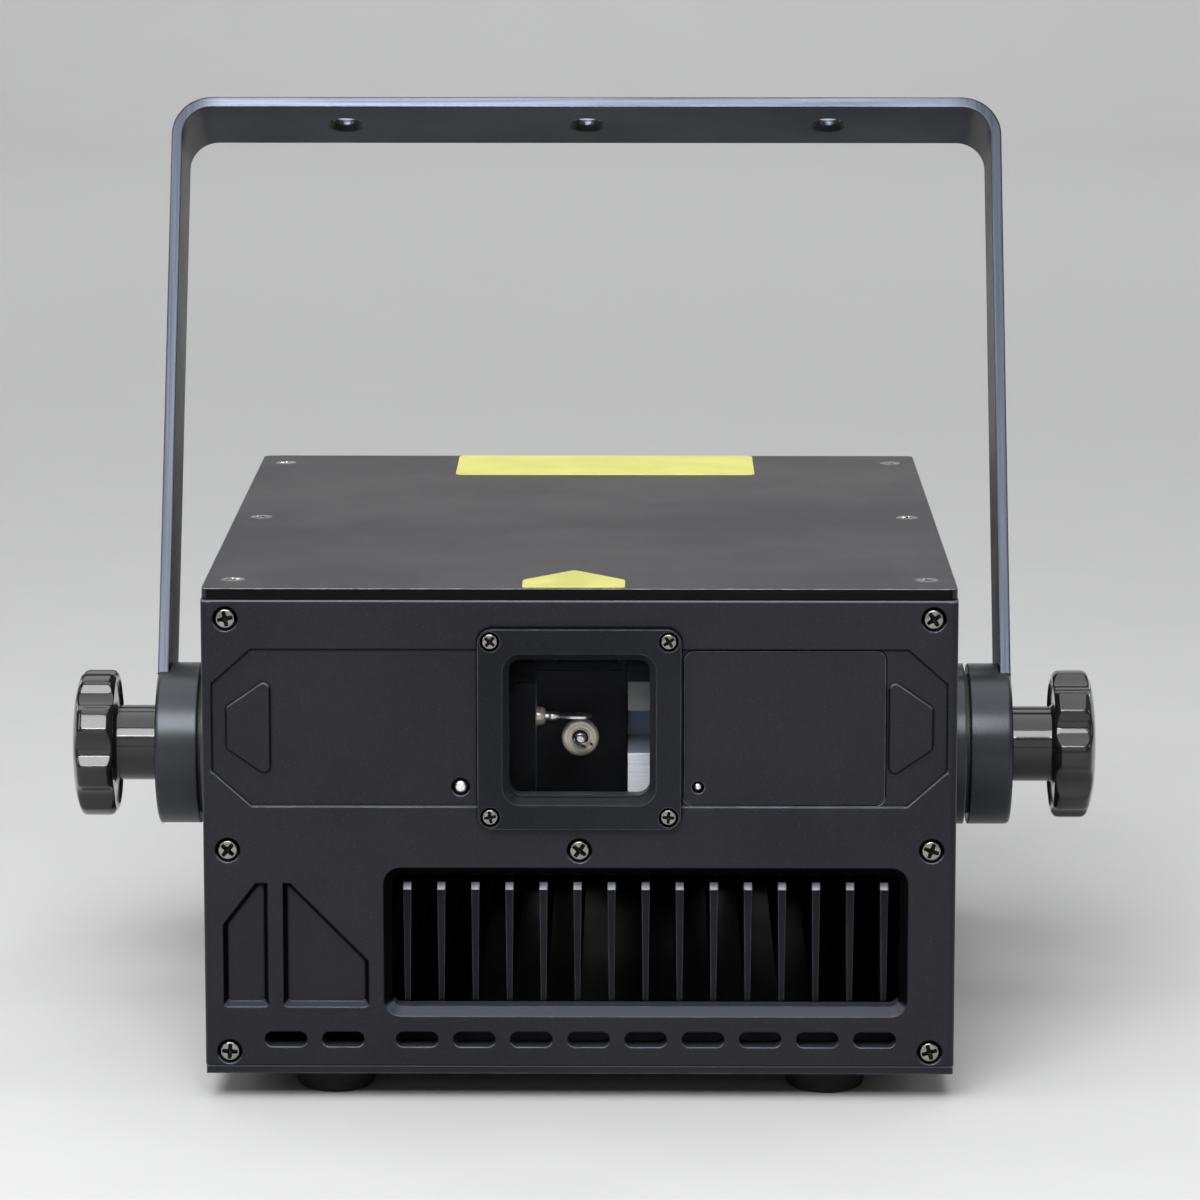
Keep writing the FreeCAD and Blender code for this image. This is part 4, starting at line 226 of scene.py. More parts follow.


# the wear colour on edges also stands for a painted highlight
housingLook = {"metallic": 0.0, "patch": 14.0, "grain": 5200.0, "dark": (0.0066, 0.0067, 0.0086),
               "light": (0.0098, 0.0099, 0.0122), "speck": (0.035, 0.035, 0.041), "edge": 0.8, "rub": 0.60,
               "rubbed": (0.24, 0.26, 0.31), "rough": (0.34, 0.42), "bump": 0.35, "seam": 1.2, "shine": 0.26,
               "tint": (0.90, 0.91, 1.0, 1.0)}
darkMetal("blackAnodised", housingLook)
# the panel's ledge colour is a painted highlight, and its lip colour, like the base's, a painted highlight line
darkMetal("panelBlack", housingLook, inner=126.0, rim=2.0, ledge=(0.030, 0.032, 0.040), rubbed=(0.30, 0.32, 0.38),
          lip=177.0, lipLight=(0.10, 0.105, 0.12))
darkMetal("baseBlack", housingLook, lip=13.0, lipLight=(0.10, 0.105, 0.12))
# the cover gets a strong painted edge highlight and painted shade on its front face
darkMetal("coverBlack", housingLook, edge=0.55, rub=0.95, rubbed=(0.46, 0.48, 0.54), shine=0.45, brow=0.90,
          tint=(0.98, 0.94, 1.0, 1.0))
darkMetal("bezelBlack", housingLook, dark=(0.005, 0.0054, 0.0068), light=(0.009, 0.0095, 0.0115), rub=0.35,
          rough=(0.40, 0.48), shine=0.14)
# the scanner block and bench go near black and almost fully metallic: painted shade for the inside of the housing
darkMetal("blockBlack", housingLook, dark=(0.0016, 0.0016, 0.0020), light=(0.0036, 0.0036, 0.0042),
          speck=(0.008, 0.008, 0.009), rub=0.20, rough=(0.24, 0.34), metallic=0.97)
darkMetal("blueAnodised", housingLook, dark=(0.030, 0.040, 0.060), light=(0.050, 0.062, 0.085),
          speck=(0.07, 0.08, 0.10))

# on the fins the cut colours stand for bare cut metal and a painted highlight
sinkLook = {**housingLook, "dark": (0.005, 0.005, 0.0062), "light": (0.009, 0.009, 0.0105), "grain": 3800.0,
            "rough": (0.38, 0.50), "rub": 0.25, "shine": 0.10, "cutDark": (0.42, 0.44, 0.49),
            "cutLight": (0.66, 0.69, 0.75)}


# the mitred fin tops show lighter than the black extrusion: bare cut metal with a painted highlight from the light
# above
def sinkFinish(look):
    tree, shader = darkMetal("finBlack", look)
    cut = facing(tree, (0.0, -0.707, 0.707), 0.93, 0.985)
    streak = grain(objectCoords(tree, (1500, 20, 20)), 1.0, 2.0)
    cutColour = mixed(streak, look["cutDark"], look["cutLight"])
    feed(shader, Base_Color=mixed(cut, fedBy(shader, "Base Color"), cutColour))


sinkFinish(sinkLook)

yokeLook = {"metallic": 0.0, "patch": 18.0, "grain": 4200.0, "dark": (0.0070, 0.0070, 0.0078),
            "light": (0.0115, 0.0115, 0.0128), "speck": (0.028, 0.028, 0.031), "edge": 1.0, "rub": 0.25,
            "rubbed": (0.26, 0.28, 0.32), "rough": (0.36, 0.46), "bump": 0.30, "tilt": 25.0, "seam": 1.0,
            "shine": 0.28, "tint": (0.9, 0.93, 1.0, 1.0), "cutDark": (0.055, 0.063, 0.084),
            "cutLight": (0.103, 0.116, 0.151), "cutRough": 0.24, "arms": (138.0, 152.0), "armDim": 0.71,
            "underDark": 0.92}


# the long edges of the flat bar are cut bright, with streaks along the bar, and painted shade darkens them on the arms;
# the wide faces are satin black, and the one under the top bar gets painted shade near black
def yokeFinish(look):
    tree, shader = darkMetal("yokeBlack", look)
    body, sheen = fedBy(shader, "Base Color"), fedBy(shader, "Roughness")
    lean = math.radians(look["tilt"])
    cut = facing(tree, (0.0, -math.cos(lean), math.sin(lean)), 0.84, 0.94, True)
    arm = ranged(acrossBody(tree), look["arms"][0] * mm, look["arms"][1] * mm, 0.0, 1.0)
    onArm = grain(objectCoords(tree, (1600, 14, 14)), 1.0, 2.0)
    onBar = grain(objectCoords(tree, (14, 1600, 1600)), 1.0, 2.0)
    streak = addNode(tree, "ShaderNodeMix", {0: arm, 2: onBar, 3: onArm}).outputs[0]
    cutColour = mixed(ranged(streak, 0.3, 0.7, 0.0, 1.0), look["cutDark"], look["cutLight"])
    # painted shade: the cut edges on the arms are darkened
    cutColour = mixed(times(arm, look["armDim"]), cutColour, (0.006, 0.007, 0.009))
    # painted shade: the face under the top bar goes near black and metallic, which takes away its reflection
    under = facing(tree, (0.0, -math.sin(lean), -math.cos(lean)), 0.85, 0.97)
    under = times(under, look["underDark"])
    body = mixed(under, body, (0.003, 0.003, 0.003))
    feed(shader, Base_Color=mixed(cut, body, cutColour),
         Metallic=greater(under, times(cut, 0.85)),
         Roughness=addNode(tree, "ShaderNodeMix", {0: cut, 2: sheen, 3: look["cutRough"]}).outputs[0])


yokeFinish(yokeLook)
darkMetal("bossBlack", yokeLook, dark=(0.010, 0.010, 0.0115), light=(0.016, 0.016, 0.0175), rough=(0.25, 0.33),
          shine=0.5, tint=(0.84, 0.90, 1.0, 1.0))


# bright worked metal: brush lines run round the axis on turned pieces, along the piece on others;
# on turned pieces the parts marked as sunk get painted shade
def brightMetal(name, base, **changes):
    look = {**base, **changes}
    tree, shader = newFinish(name, look.get("metallic", 1.0))
    turned = look.get("turned", False)
    coords = turnCoords(tree, look["stretch"]) if turned else objectCoords(tree, look["stretch"])
    lines = grain(coords, 1.0, 3.0, 0.6)
    patches = grain(objectCoords(tree), look["patch"], 3.0)
    body = mixed(ranged(lines, 0.3, 0.7, 0.0, 1.0), look["dark"], look["light"])
    body = mixed(ranged(patches, 0.55, 0.85, 0.0, 0.5), body, look["stain"])
    if turned:
        # painted shade in the sunk parts
        deep = addNode(tree, "ShaderNodeAttribute", attribute_name="sunk").outputs["Fac"]
        body = mixed(ranged(deep, 0.03, 0.45, 0.0, 0.985), body, (0.008, 0.008, 0.007))
    feed(shader, Base_Color=body, Roughness=ranged(lines, 0.25, 0.75, *look["rough"]))
    setBump(shader, lines, look["bump"], 0.01)
    return tree, shader


screwLook = {"turned": True, "stretch": (4, 9000, 1), "patch": 900.0, "bump": 0.25, "dark": (0.20, 0.194, 0.182),
             "light": (0.38, 0.370, 0.348), "stain": (0.09, 0.086, 0.079), "rough": (0.14, 0.26)}
brightMetal("screwSteel", screwLook)
brightMetal("darkScrew", screwLook, dark=(0.07, 0.07, 0.075), light=(0.13, 0.13, 0.135), stain=(0.04, 0.04, 0.04),
            rough=(0.28, 0.42))
brightMetal("galvoBody", screwLook, stretch=(3, 5000, 1), bump=0.30, metallic=0.4, dark=(0.52, 0.475, 0.405),
            light=(0.88, 0.83, 0.74), stain=(0.34, 0.30, 0.24), rough=(0.20, 0.32))
milledLook = {"stretch": (60, 60, 2600), "patch": 90.0, "bump": 0.30, "dark": (0.50, 0.50, 0.51),
              "light": (0.68, 0.68, 0.68), "stain": (0.40, 0.40, 0.40), "rough": (0.28, 0.42)}
brightMetal("milledAluminium", milledLook)
brightMetal("shaftSteel", milledLook, stretch=(900, 900, 900), patch=700.0, bump=0.15, dark=(0.74, 0.74, 0.74),
            light=(0.90, 0.90, 0.89), stain=(0.55, 0.54, 0.52), rough=(0.26, 0.38))
brightMetal("nickelShell", milledLook, stretch=(500, 500, 500), patch=300.0, bump=0.10, dark=(0.50, 0.49, 0.46),
            light=(0.64, 0.63, 0.60), stain=(0.36, 0.35, 0.33), rough=(0.20, 0.34))
brightMetal("guardWire", milledLook, stretch=(700, 700, 700), patch=240.0, bump=0.15, dark=(0.46, 0.46, 0.47),
            light=(0.62, 0.62, 0.63), stain=(0.33, 0.33, 0.34), rough=(0.20, 0.32))
brightMetal("brassContact", milledLook, stretch=(600, 600, 600), patch=400.0, bump=0.12, dark=(0.62, 0.43, 0.17),
            light=(0.80, 0.60, 0.28), stain=(0.40, 0.27, 0.11), rough=(0.20, 0.34))


# the coat is on the mirror's faces, and its cut glass edges stay dark
def mirrorFinish(look):
    tree, shader = brightMetal("mirrorFilm", look)
    edge = facing(tree, towardRear, 0.80, 0.95, True)
    feed(shader, Base_Color=mixed(edge, fedBy(shader, "Base Color"), look["edge"]))


# the upright plate is milled, darker and warm above its slot and lightest below it; the slot's inside is painted
# blue-grey shade with painted light towards its lower edge
def uprightFinish(look):
    tree, shader = brightMetal("uprightMetal", look)
    place = addNode(tree, "ShaderNodeSeparateXYZ", {0: objectCoords(tree)}).outputs
    upper = ranged(place[2], look["warmFrom"] * mm, look["warmTo"] * mm, 0.0, 0.85)
    inside = ranged(place[1], look["face"] * mm, (look["face"] + 1.0) * mm, 0.0, 1.0)
    glow = ranged(place[2], look["glowFrom"] * mm, look["glowTo"] * mm, 1.0, 0.0)
    body = mixed(upper, fedBy(shader, "Base Color"), look["warm"])
    feed(shader, Base_Color=mixed(inside, body, mixed(glow, look["shade"], look["glow"])))


uprightFinish({
    **milledLook, "metallic": 0.1, "dark": (0.54, 0.58, 0.64), "light": (0.74, 0.77, 0.80),
    "stain": (0.56, 0.59, 0.64), "rough": (0.30, 0.42), "warm": (0.030, 0.028, 0.022), "warmFrom": 124.0,
    "warmTo": 134.0, "face": -136.2, "shade": (0.17, 0.24, 0.38), "glow": (0.30, 0.34, 0.42), "glowFrom": 118.0,
    "glowTo": 124.0})
mirrorFinish({
    "stretch": (300, 300, 300), "patch": 300.0, "bump": 0.02, "dark": (0.86, 0.84, 0.80),
    "light": (0.92, 0.91, 0.88), "stain": (0.78, 0.76, 0.72), "rough": (0.05, 0.10), "edge": (0.030, 0.038, 0.036)})


# moulded plastic or rubber: mottled colour, sheen that varies, a fine moulded texture
def mouldedFinish(name, base, **changes):
    look = {**base, **changes}
    tree, shader = newFinish(name, Coat_Weight=look["coat"], Coat_Roughness=look["coatRough"],
                             Specular_IOR_Level=look["shine"])
    coords = objectCoords(tree)
    mottle = grain(coords, look["mottle"], 3.0)
    skin = grain(coords, look["skin"], 2.0, 0.6)
    body = mixed(ranged(mottle, 0.3, 0.7, 0.0, 1.0), look["dark"], look["light"])
    rounded, edges = roundedEdge(tree, look["edge"] * mm)
    # edges lighten by wear and a painted highlight
    feed(shader, Base_Color=mixed(times(edges, look["rub"]), body, look["rubbed"]),
         Roughness=ranged(mottle, 0.25, 0.75, *look["rough"]))
    setBump(shader, skin, look["bump"], look["deep"], Normal=rounded)


plasticLook = {"coat": 0.0, "coatRough": 0.3, "shine": 0.5, "mottle": 50.0, "skin": 4200.0,
               "dark": (0.012, 0.012, 0.013), "light": (0.020, 0.020, 0.021), "edge": 0.5, "rub": 0.25,
               "rubbed": (0.07, 0.07, 0.07), "rough": (0.46, 0.60), "bump": 0.35, "deep": 0.025}
mouldedFinish("mattePlastic", plasticLook)
mouldedFinish("glossPlastic", plasticLook, coat=0.2, coatRough=0.1, skin=1200.0, dark=(0.009, 0.009, 0.010),
              light=(0.014, 0.014, 0.015), edge=0.4, rub=0.2, rough=(0.20, 0.30), bump=0.08, deep=0.02)
mouldedFinish("knobGloss", plasticLook, coat=0.5, coatRough=0.06, shine=0.3, mottle=45.0, skin=900.0,
              dark=(0.006, 0.006, 0.007), light=(0.011, 0.011, 0.012), rub=0.10, rubbed=(0.07, 0.07, 0.075),
              rough=(0.10, 0.18), bump=0.05, deep=0.03)
mouldedFinish("rubberBlack", plasticLook, shine=0.2, mottle=60.0, skin=2600.0, dark=(0.005, 0.005, 0.005),
              light=(0.010, 0.010, 0.010), edge=0.9, rub=0.30, rubbed=(0.04, 0.04, 0.04), rough=(0.62, 0.80),
              bump=0.40, deep=0.04)
yellowLook = {**plasticLook, "coat": 0.15, "mottle": 70.0, "skin": 3000.0, "dark": (0.65, 0.64, 0.105),
              "light": (0.73, 0.72, 0.16), "edge": 0.4, "rub": 0.35, "rubbed": (0.90, 0.88, 0.55),
              "rough": (0.34, 0.48), "bump": 0.10, "deep": 0.015}
mouldedFinish("yellowSheet", yellowLook)
# a darker copy of the yellow sheet for the front plate: painted shade
mouldedFinish("yellowWorn", yellowLook, dark=(0.47, 0.465, 0.085), light=(0.54, 0.535, 0.125))


# clear window: nearly all light passes, with a faint smear on it
def clearGlass():
    tree, shader = newFinish("windowGlass", IOR=1.45)
    smear = grain(objectCoords(tree), 55.0, 4.0)
    feed(shader, Base_Color=mixed(smear, (0.006, 0.007, 0.008), (0.020, 0.022, 0.024)),
         Roughness=ranged(smear, 0.3, 0.8, 0.02, 0.09), Alpha=ranged(smear, 0.3, 0.8, 0.02, 0.06))
    finishes["windowGlass"].surface_render_method = "BLENDED"


# fibreglass board: lacquer over a fine weave, with paler copper runs showing through
def boardFinish():
    tree, shader = newFinish("boardGreen", Coat_Weight=0.3, Coat_Roughness=0.2)
    coords = objectCoords(tree)
    runs = addNode(tree, "ShaderNodeTexVoronoi", {"Vector": coords, "Scale": 260.0}, distance="MANHATTAN",
                   feature="F1").outputs["Distance"]
    share = ranged(runs, 0.42, 0.5, 0.0, 0.8)
    feed(shader, Base_Color=mixed(share, (0.010, 0.060, 0.028), (0.035, 0.130, 0.060)),
         Roughness=ranged(runs, 0.1, 0.6, 0.32, 0.46))
    setBump(shader, grain(coords, 3000.0), 0.2, 0.02)


# display window: dark glass over a fine grid of cells, unlit
def displayFinish():
    tree, shader = newFinish("displayGlass", Coat_Weight=0.8, Coat_Roughness=0.04)
    coords = objectCoords(tree)
    upright = addNode(tree, "ShaderNodeMapping", {0: coords, 2: (math.pi / 2, 0, 0), 3: (1, 1, 1)}).outputs[0]
    cells = addNode(tree, "ShaderNodeTexBrick", {
        "Vector": upright, "Scale": 90.0, "Color1": (0.004, 0.010, 0.022, 1), "Color2": (0.006, 0.014, 0.028, 1),
        "Mortar": (0.002, 0.004, 0.008, 1), "Mortar Size": 0.05}, offset=0.0).outputs["Color"]
    feed(shader, Base_Color=cells, Roughness=ranged(grain(coords, 60.0), 0.3, 0.7, 0.16, 0.28))


clearGlass()
boardFinish()
displayFinish()
print("finishes made:", len(finishes))


# surfaces

# quads between neighbours of a rows x columns grid
def gridFaces(rows, columns):
    row, column = np.meshgrid(np.arange(rows - 1), np.arange(columns - 1), indexing="ij")
    corner = row * columns + column
    return np.stack([corner, corner + 1, corner + columns + 1, corner + columns], -1).reshape(-1, 4)


# a run of corners where corner B gives way to (1-t)^2 P + 2t(1-t) B + t^2 Q,
# with P and Q its reach away along the sides
def roundedPath(corners, reach, steps=6):
    corners = np.array(corners, float)
    t = np.linspace(0.0, 1.0, steps)[:, None]
    runs = [corners[:1]]
    for before, corner, after, far in zip(corners[:-2], corners[1:-1], corners[2:], reach[1:-1]):
        back, ahead = before - corner, after - corner
        first = corner + back * min(far / np.linalg.norm(back), 0.48)
        last = corner + ahead * min(far / np.linalg.norm(ahead), 0.48)
        runs.append((1 - t) ** 2 * first + 2 * t * (1 - t) * corner + t ** 2 * last if far > 0 else corner[None])
    return np.concatenate(runs + [corners[-1:]])


# the same path with points no further apart than step
def closeSpaced(path, step):
    counts = np.maximum(1, np.ceil(np.linalg.norm(np.diff(path, axis=0), axis=1) / step)).astype(int)
    place = np.concatenate([np.arange(n) / n + i for i, n in enumerate(counts)] + [[len(counts)]])
    return np.stack([np.interp(place, np.arange(len(path)), path[:, k]) for k in (0, 1)], 1)


# one row of angles from 0 to a full turn
def fullTurn(columns):
    return np.linspace(0.0, 2 * np.pi, columns + 1)[None, :]


# turned surface: a point is (along, r sin t, r cos t) for each path point (along, r) and each angle t of a full turn
def turnedGrid(path, columns):
    angle = fullTurn(columns)
    along, radius = path[:, :1] + 0 * angle, path[:, 1:] + 0 * angle
    return np.stack([along, radius * np.sin(angle), radius * np.cos(angle)], -1)


# turn coordinates of a grid: share of the turn, and length along the path in metres
def turnMap(path, columns):
    run = np.concatenate([[0.0], np.cumsum(np.linalg.norm(np.diff(path, axis=0), axis=1))]) * mm
    share = np.linspace(0.0, 1.0, columns + 1)
    return np.stack(np.broadcast_arrays(share[None, :], run[:, None]), -1)


def turnedPair(path, columns):
    return turnedGrid(path, columns), turnMap(path, columns)


# local axes (along, side, up) put into the object's frame, in metres
def placed(grid, origin, along, side):
    along, side = np.array(along, float), np.array(side, float)
    basis = np.stack([along, side, np.cross(along, side)])
    return (grid @ basis + np.array(origin, float)) * mm


# the same for a whole part, which is a grid of points, its turn coordinates or None, and how far each point is sunk,
# if any is
def stood(part, origin, along, side=acrossX):
    return placed(part[0], origin, along, side), *part[1:]


def newPiece(name, parts, finish, body, stands=(), sharp=38.0):
    offset, points, faces, maps, depths = 0, [], [], [], []
    for grid, uv, *sunk in parts:
        rows, columns = grid.shape[:2]
        points.append(grid.reshape(-1, 3))
        faces.append(gridFaces(rows, columns) + offset)
        maps.append(np.zeros((rows * columns, 2)) if uv is None else uv.reshape(-1, 2))
        depths.append(sunk[0].ravel() if sunk else np.zeros(rows * columns))
        offset += rows * columns
    points, faces, maps = np.concatenate(points), np.concatenate(faces), np.concatenate(maps)
    mesh = bpy.data.meshes.new(name)
    mesh.from_pydata(points, [], faces)
    mesh.uv_layers.new(name="turn").data.foreach_set("uv", maps[faces.ravel()].ravel())
    mesh.attributes.new("sunk", "FLOAT", "POINT").data.foreach_set("value", np.concatenate(depths))
    work = bmesh.new()
    work.from_mesh(mesh)
    bmesh.ops.remove_doubles(work, verts=work.verts, dist=2e-7)
    bmesh.ops.dissolve_degenerate(work, edges=work.edges, dist=1e-8)
    bmesh.ops.recalc_face_normals(work, faces=work.faces)
    work.to_mesh(mesh)
    work.free()
    finishedPiece(name, mesh, finish, body, stands, sharp)


def coat(mesh, finish):
    mesh.materials.clear()
    mesh.materials.append(finishes[finish])


def finishedPiece(name, mesh, finish, body, stands, sharp):
    mesh.shade_smooth()
    mesh.set_sharp_from_angle(angle=math.radians(sharp))
    coat(mesh, finish)
    piece = bpy.data.objects.new(name, mesh)
    scene.collection.objects.link(piece)
    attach(piece, body)
    if stands:
        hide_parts(*stands)
    return piece


easing = {"segments": 2, "angle": 40.0, "sharp": 30.0}


# a merged copy of a solid with its edges eased by a narrow bevel
def easedCopy(node, finish, body, width):
    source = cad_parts[node].data
    points = np.empty(len(source.vertices) * 3)
    source.vertices.foreach_get("co", points)
    corners = np.empty(len(source.loops), np.int32)
    source.loops.foreach_get("vertex_index", corners)
    mesh = bpy.data.meshes.new(node + ".eased")
    mesh.from_pydata(points.reshape(-1, 3), [], corners.reshape(-1, 3))
    work = bmesh.new()
    work.from_mesh(mesh)
    bmesh.ops.remove_doubles(work, verts=work.verts, dist=1e-6)
    work.to_mesh(mesh)
    work.free()
    piece = finishedPiece(node + ".eased", mesh, finish, body, (node,), easing["sharp"])
    bevel = piece.modifiers.new("easedEdges", "BEVEL")
    bevel.width = width * mm
    bevel.segments = easing["segments"]
    bevel.limit_method = "ANGLE"
    bevel.angle_limit = math.radians(easing["angle"])
    bevel.use_clamp_overlap = False
    bevel.harden_normals = True


# clamp knobs

knob = {"hub": 14.0, "bore": 5.2, "hubLong": 15.6, "hubEdge": 0.4, "cup": 0.9, "cupSlope": 1.2, "under": 25.5,
        "rim": 27.5, "underLong": 1.5, "rimLong": 11.3, "dome": 20.0, "domeLong": 2.6, "crownLong": 0.9,
        "rounds": (0, 0.9, 0.5, 0.6, 0.6, 0.4, 0.9, 1.4, 2.0, 7.0, 0), "step": 1.1, "lobes": 8, "scallopOut": 33.3,
        "scallop": 8.6, "blend": 0.95, "leftTurn": 39.8, "rightTurn": 21.8, "face": 158.8, "columns": 288}


# the path from hub to crown is turned; its radius is the soft least of the path's own and the scallop's,
# r = c cos t - sqrt(a a - c c sin t sin t), with t the angle from the nearest scallop's middle
def knobGrid(turn, hub, bore, hubLong, hubEdge, cup, cupSlope, under, rim, underLong, rimLong, dome, domeLong,
             crownLong, rounds, step, lobes, scallopOut, scallop, blend, columns, **others):
    rimStart = hubLong + underLong
    rimEnd = rimStart + rimLong
    cupFace = hubLong + cup
    corners = [(0, bore), (0, hub), (hubLong - hubEdge, hub), (cupFace, hub + cupSlope),
               (cupFace, under - 2 * cupSlope), (hubLong, under - cupSlope), (hubLong, under), (rimStart, rim),
               (rimEnd, rim), (rimEnd + domeLong, dome), (rimEnd + domeLong + crownLong, 0)]
    path = closeSpaced(roundedPath(corners, rounds, 8), step)
    grid, uv = turnedPair(path, columns)
    angle = fullTurn(columns) + math.radians(turn)
    lobe = 2 * np.pi / lobes
    near = (angle + lobe / 2) % lobe - lobe / 2
    inside = scallop ** 2 - (scallopOut * np.sin(near)) ** 2
    notch = np.where(inside > 0, scallopOut * np.cos(near) - np.sqrt(np.maximum(inside, 0)), 2 * rim)
    own = path[:, 1:]
    soft = -blend * np.logaddexp(-own / blend, -notch / blend)
    grid[:, :, 1:] *= (soft / np.maximum(own, 1e-6))[:, :, None]
    return grid, uv


for sideName, sign, turn in (("left", -1, knob["leftTurn"]), ("right", 1, knob["rightTurn"])):
    grid, uv = knobGrid(turn, **knob)
    grid[:, :, 0] = sign * (knob["face"] + grid[:, :, 0])
    grid = (grid + np.array([0.0, pivot["y"], pivot["z"]])) * mm
    newPiece(sideName + "LobedKnob", [(grid, uv)], "knobGloss", sideName + "_clamp",
             (sideName + "_knob",), 50.0)
print("knobs made")


# screws

panelScrew = {"head": 3.95, "tall": 2.8, "shank": 1.95, "long": 12.0, "arm": 0.66, "slot": 0.165, "deep": 1.7,
              "columns": 96}
smallScrew = {**panelScrew, "head": 3.1, "tall": 1.8, "shank": 1.45, "long": 8.0, "deep": 1.1, "columns": 80}
coverScrew = {**panelScrew, "head": 4.2, "tall": 2.3, "arm": 0.58, "slot": 0.140, "deep": 1.5, "columns": 72}
footScrew = {**panelScrew, "head": 3.9, "tall": 2.6, "long": 8.0, "arm": 0.60, "slot": 0.150, "deep": 1.3,
             "columns": 48}
# shares of the head's height and radius
headForm = {"side": 0.42, "shoulder": (0.9, 0.80), "brim": (0.93, 0.72), "flat": 0.76, "rings": 22}


# a smooth step from 0 below the first edge to 1 above the second
def eased(value, low, high):
    share = np.clip((value - low) / (high - low), 0.0, 1.0)
    return share * share * (3.0 - 2.0 * share)


# the turned head has a low dome; inside it the cross is pressed in where |a| or |b| is under the slot's half width
# and the other is within the arm's length, and it gets shallower towards the arms' ends
def screwGrid(spin, sunk, head, tall, shank, long, arm, slot, deep, columns):
    stem = [(-long, 0), (-long, shank * 0.8), (-long + 0.5, shank)]
    if sunk:
        low = stem + [(-tall, shank), (-0.3, head), (0, head - 0.12), (0, head * headForm["flat"])]
        lower = roundedPath(low, [0, 0, 0, 0, 0.15, 0.1, 0], 3)
        rise, top = 0.0, 0.0
    else:
        shoulder, brim = headForm["shoulder"], headForm["brim"]
        low = stem + [(0, shank), (0, head), (tall * headForm["side"], head),
                      (tall * shoulder[0], head * shoulder[1]), (tall * brim[0], head * brim[1])]
        lower = roundedPath(low, [0, 0, 0, 0, 0.12, 0.9, 0.7, 0], 5)
        rise, top = tall * (1 - brim[0]), tall * brim[0]
    reach = np.linspace(lower[-1, 1], 0.0, headForm["rings"])[1:]
    dome = np.stack([top + rise * (1 - (reach / lower[-1, 1]) ** 2), reach], 1)
    grid, uv = turnedPair(np.concatenate([lower, dome]), columns)
    cosine, sine = math.cos(spin), math.sin(spin)
    a = (grid[:, :, 1] * cosine + grid[:, :, 2] * sine) / head
    b = (grid[:, :, 2] * cosine - grid[:, :, 1] * sine) / head

    def pressed(across, lengthwise):
        width = slot * (1.15 - 0.5 * np.abs(lengthwise))
        inside = eased(width - np.abs(across), -0.02, 0.03) * eased(arm - np.abs(lengthwise), -0.03, 0.05)
        return inside * (1.0 - 0.5 * np.abs(lengthwise) / arm)

    # the pressed share also goes out as the sunk mark, which the finish paints in shade
    sink = np.maximum(pressed(a, b), pressed(b, a))
    sink[:len(lower)] = 0.0
    grid[:, :, 0] -= sink * deep
    return grid, uv, sink


# each spot is a place and an outward axis; the crosses stand at fixed uneven turns
def screwParts(shape, spots, sunk=False):
    return [stood(screwGrid(math.radians(count * 37.0 + 12.0), sunk, **shape), *spot)
            for count, spot in enumerate(spots)]


def spotsAt(xs, y, zs, along):
    return [((x, y, z), along) for x in xs for z in zs]


def bothSides(middle, reach):
    return middle - reach, middle + reach


bolt = {"across": 121.5, "frontHeights": (170.5, 89.4, 17.9), "rearHeights": (170.5, 109.76, 17.9), "seat": 2.8}
boltSpots = spotsAt(bothSides(0.0, bolt["across"]), front + bolt["seat"], bolt["frontHeights"], towardFront)
boltSpots += spotsAt((0.0,), front + bolt["seat"], bolt["frontHeights"][1:2], towardFront)
boltSpots += spotsAt(bothSides(0.0, bolt["across"]), rear, bolt["rearHeights"], towardRear)
newPiece("panelScrewHeads", screwParts(panelScrew, boltSpots), "screwSteel", "housing", ("panel_screws",))

# inlet and bridge are across, height and reach to either side
small = {"bezelOut": 30.7, "windowHeight": 132.4, "bezelFace": -167.5, "fans": (-12.0, 57.0), "fanHeight": 48.0,
         "fanOut": 25.0, "guard": 1.5, "flange": 2.5, "inlet": (-90.0, 38.0, 20.0), "signals": (-95.0, -60.0),
         "signalHeight": 150.0, "signalAcross": 9.5, "signalRise": 12.0, "bridge": (88.0, 112.01, 20.5), "plate": 3.0}
smallSpots = spotsAt(bothSides(0.0, small["bezelOut"]), small["bezelFace"] + smallScrew["tall"],
                     bothSides(small["windowHeight"], small["bezelOut"]), towardFront)
for middle in small["fans"]:
    smallSpots += spotsAt(bothSides(middle, small["fanOut"]), rear + small["guard"],
                          bothSides(small["fanHeight"], small["fanOut"]), towardRear)
across, height, reach = small["inlet"]
smallSpots += spotsAt(bothSides(across, reach), rear + small["flange"], (height,), towardRear)
for middle in small["signals"]:
    for x in (-1, 1):
        smallSpots += spotsAt((middle + x * small["signalAcross"],), rear + small["flange"],
                              (small["signalHeight"] - x * small["signalRise"],), towardRear)
across, height, reach = small["bridge"]
smallSpots += spotsAt(bothSides(across, reach), rear + small["plate"], (height,), towardRear)
newPiece("smallScrewHeads", screwParts(smallScrew, smallSpots), "screwSteel", "housing", ("small_screws",))

sunkPlan = {"across": 120.0, "coverDepths": (-144.5, -4.5, 135.5), "baseDepths": (-144.5, 135.5)}
sunkAcross = bothSides(0.0, sunkPlan["across"])
sunkSpots = [((x, y, coverTop), upwards) for x in sunkAcross for y in sunkPlan["coverDepths"]]
sunkSpots += [((x, y, baseLow), downwards) for x in sunkAcross for y in sunkPlan["baseDepths"]]
newPiece("coverScrewHeads", screwParts(coverScrew, sunkSpots, True), "screwSteel", "housing",
         ("countersunk_screws",))

feet = {"across": 86.0, "depths": (-140.5, 131.5), "tall": 10.0, "top": 15.5, "base": 13.2, "sole": 4.8,
        "well": 4.25, "wellDeep": 5.0, "bore": 2.1, "rib": 0.12, "ribWide": 0.05, "ribsAt": (0.55, 0.80), "columns": 72}
footSpots = [(x, y) for x in bothSides(0.0, feet["across"]) for y in feet["depths"]]
wellSpots = [((x, y, feet["wellDeep"]), downwards) for x, y in footSpots]
newPiece("footScrewHeads", screwParts(footScrew, wellSpots), "darkScrew", "housing", ("foot_screws",))


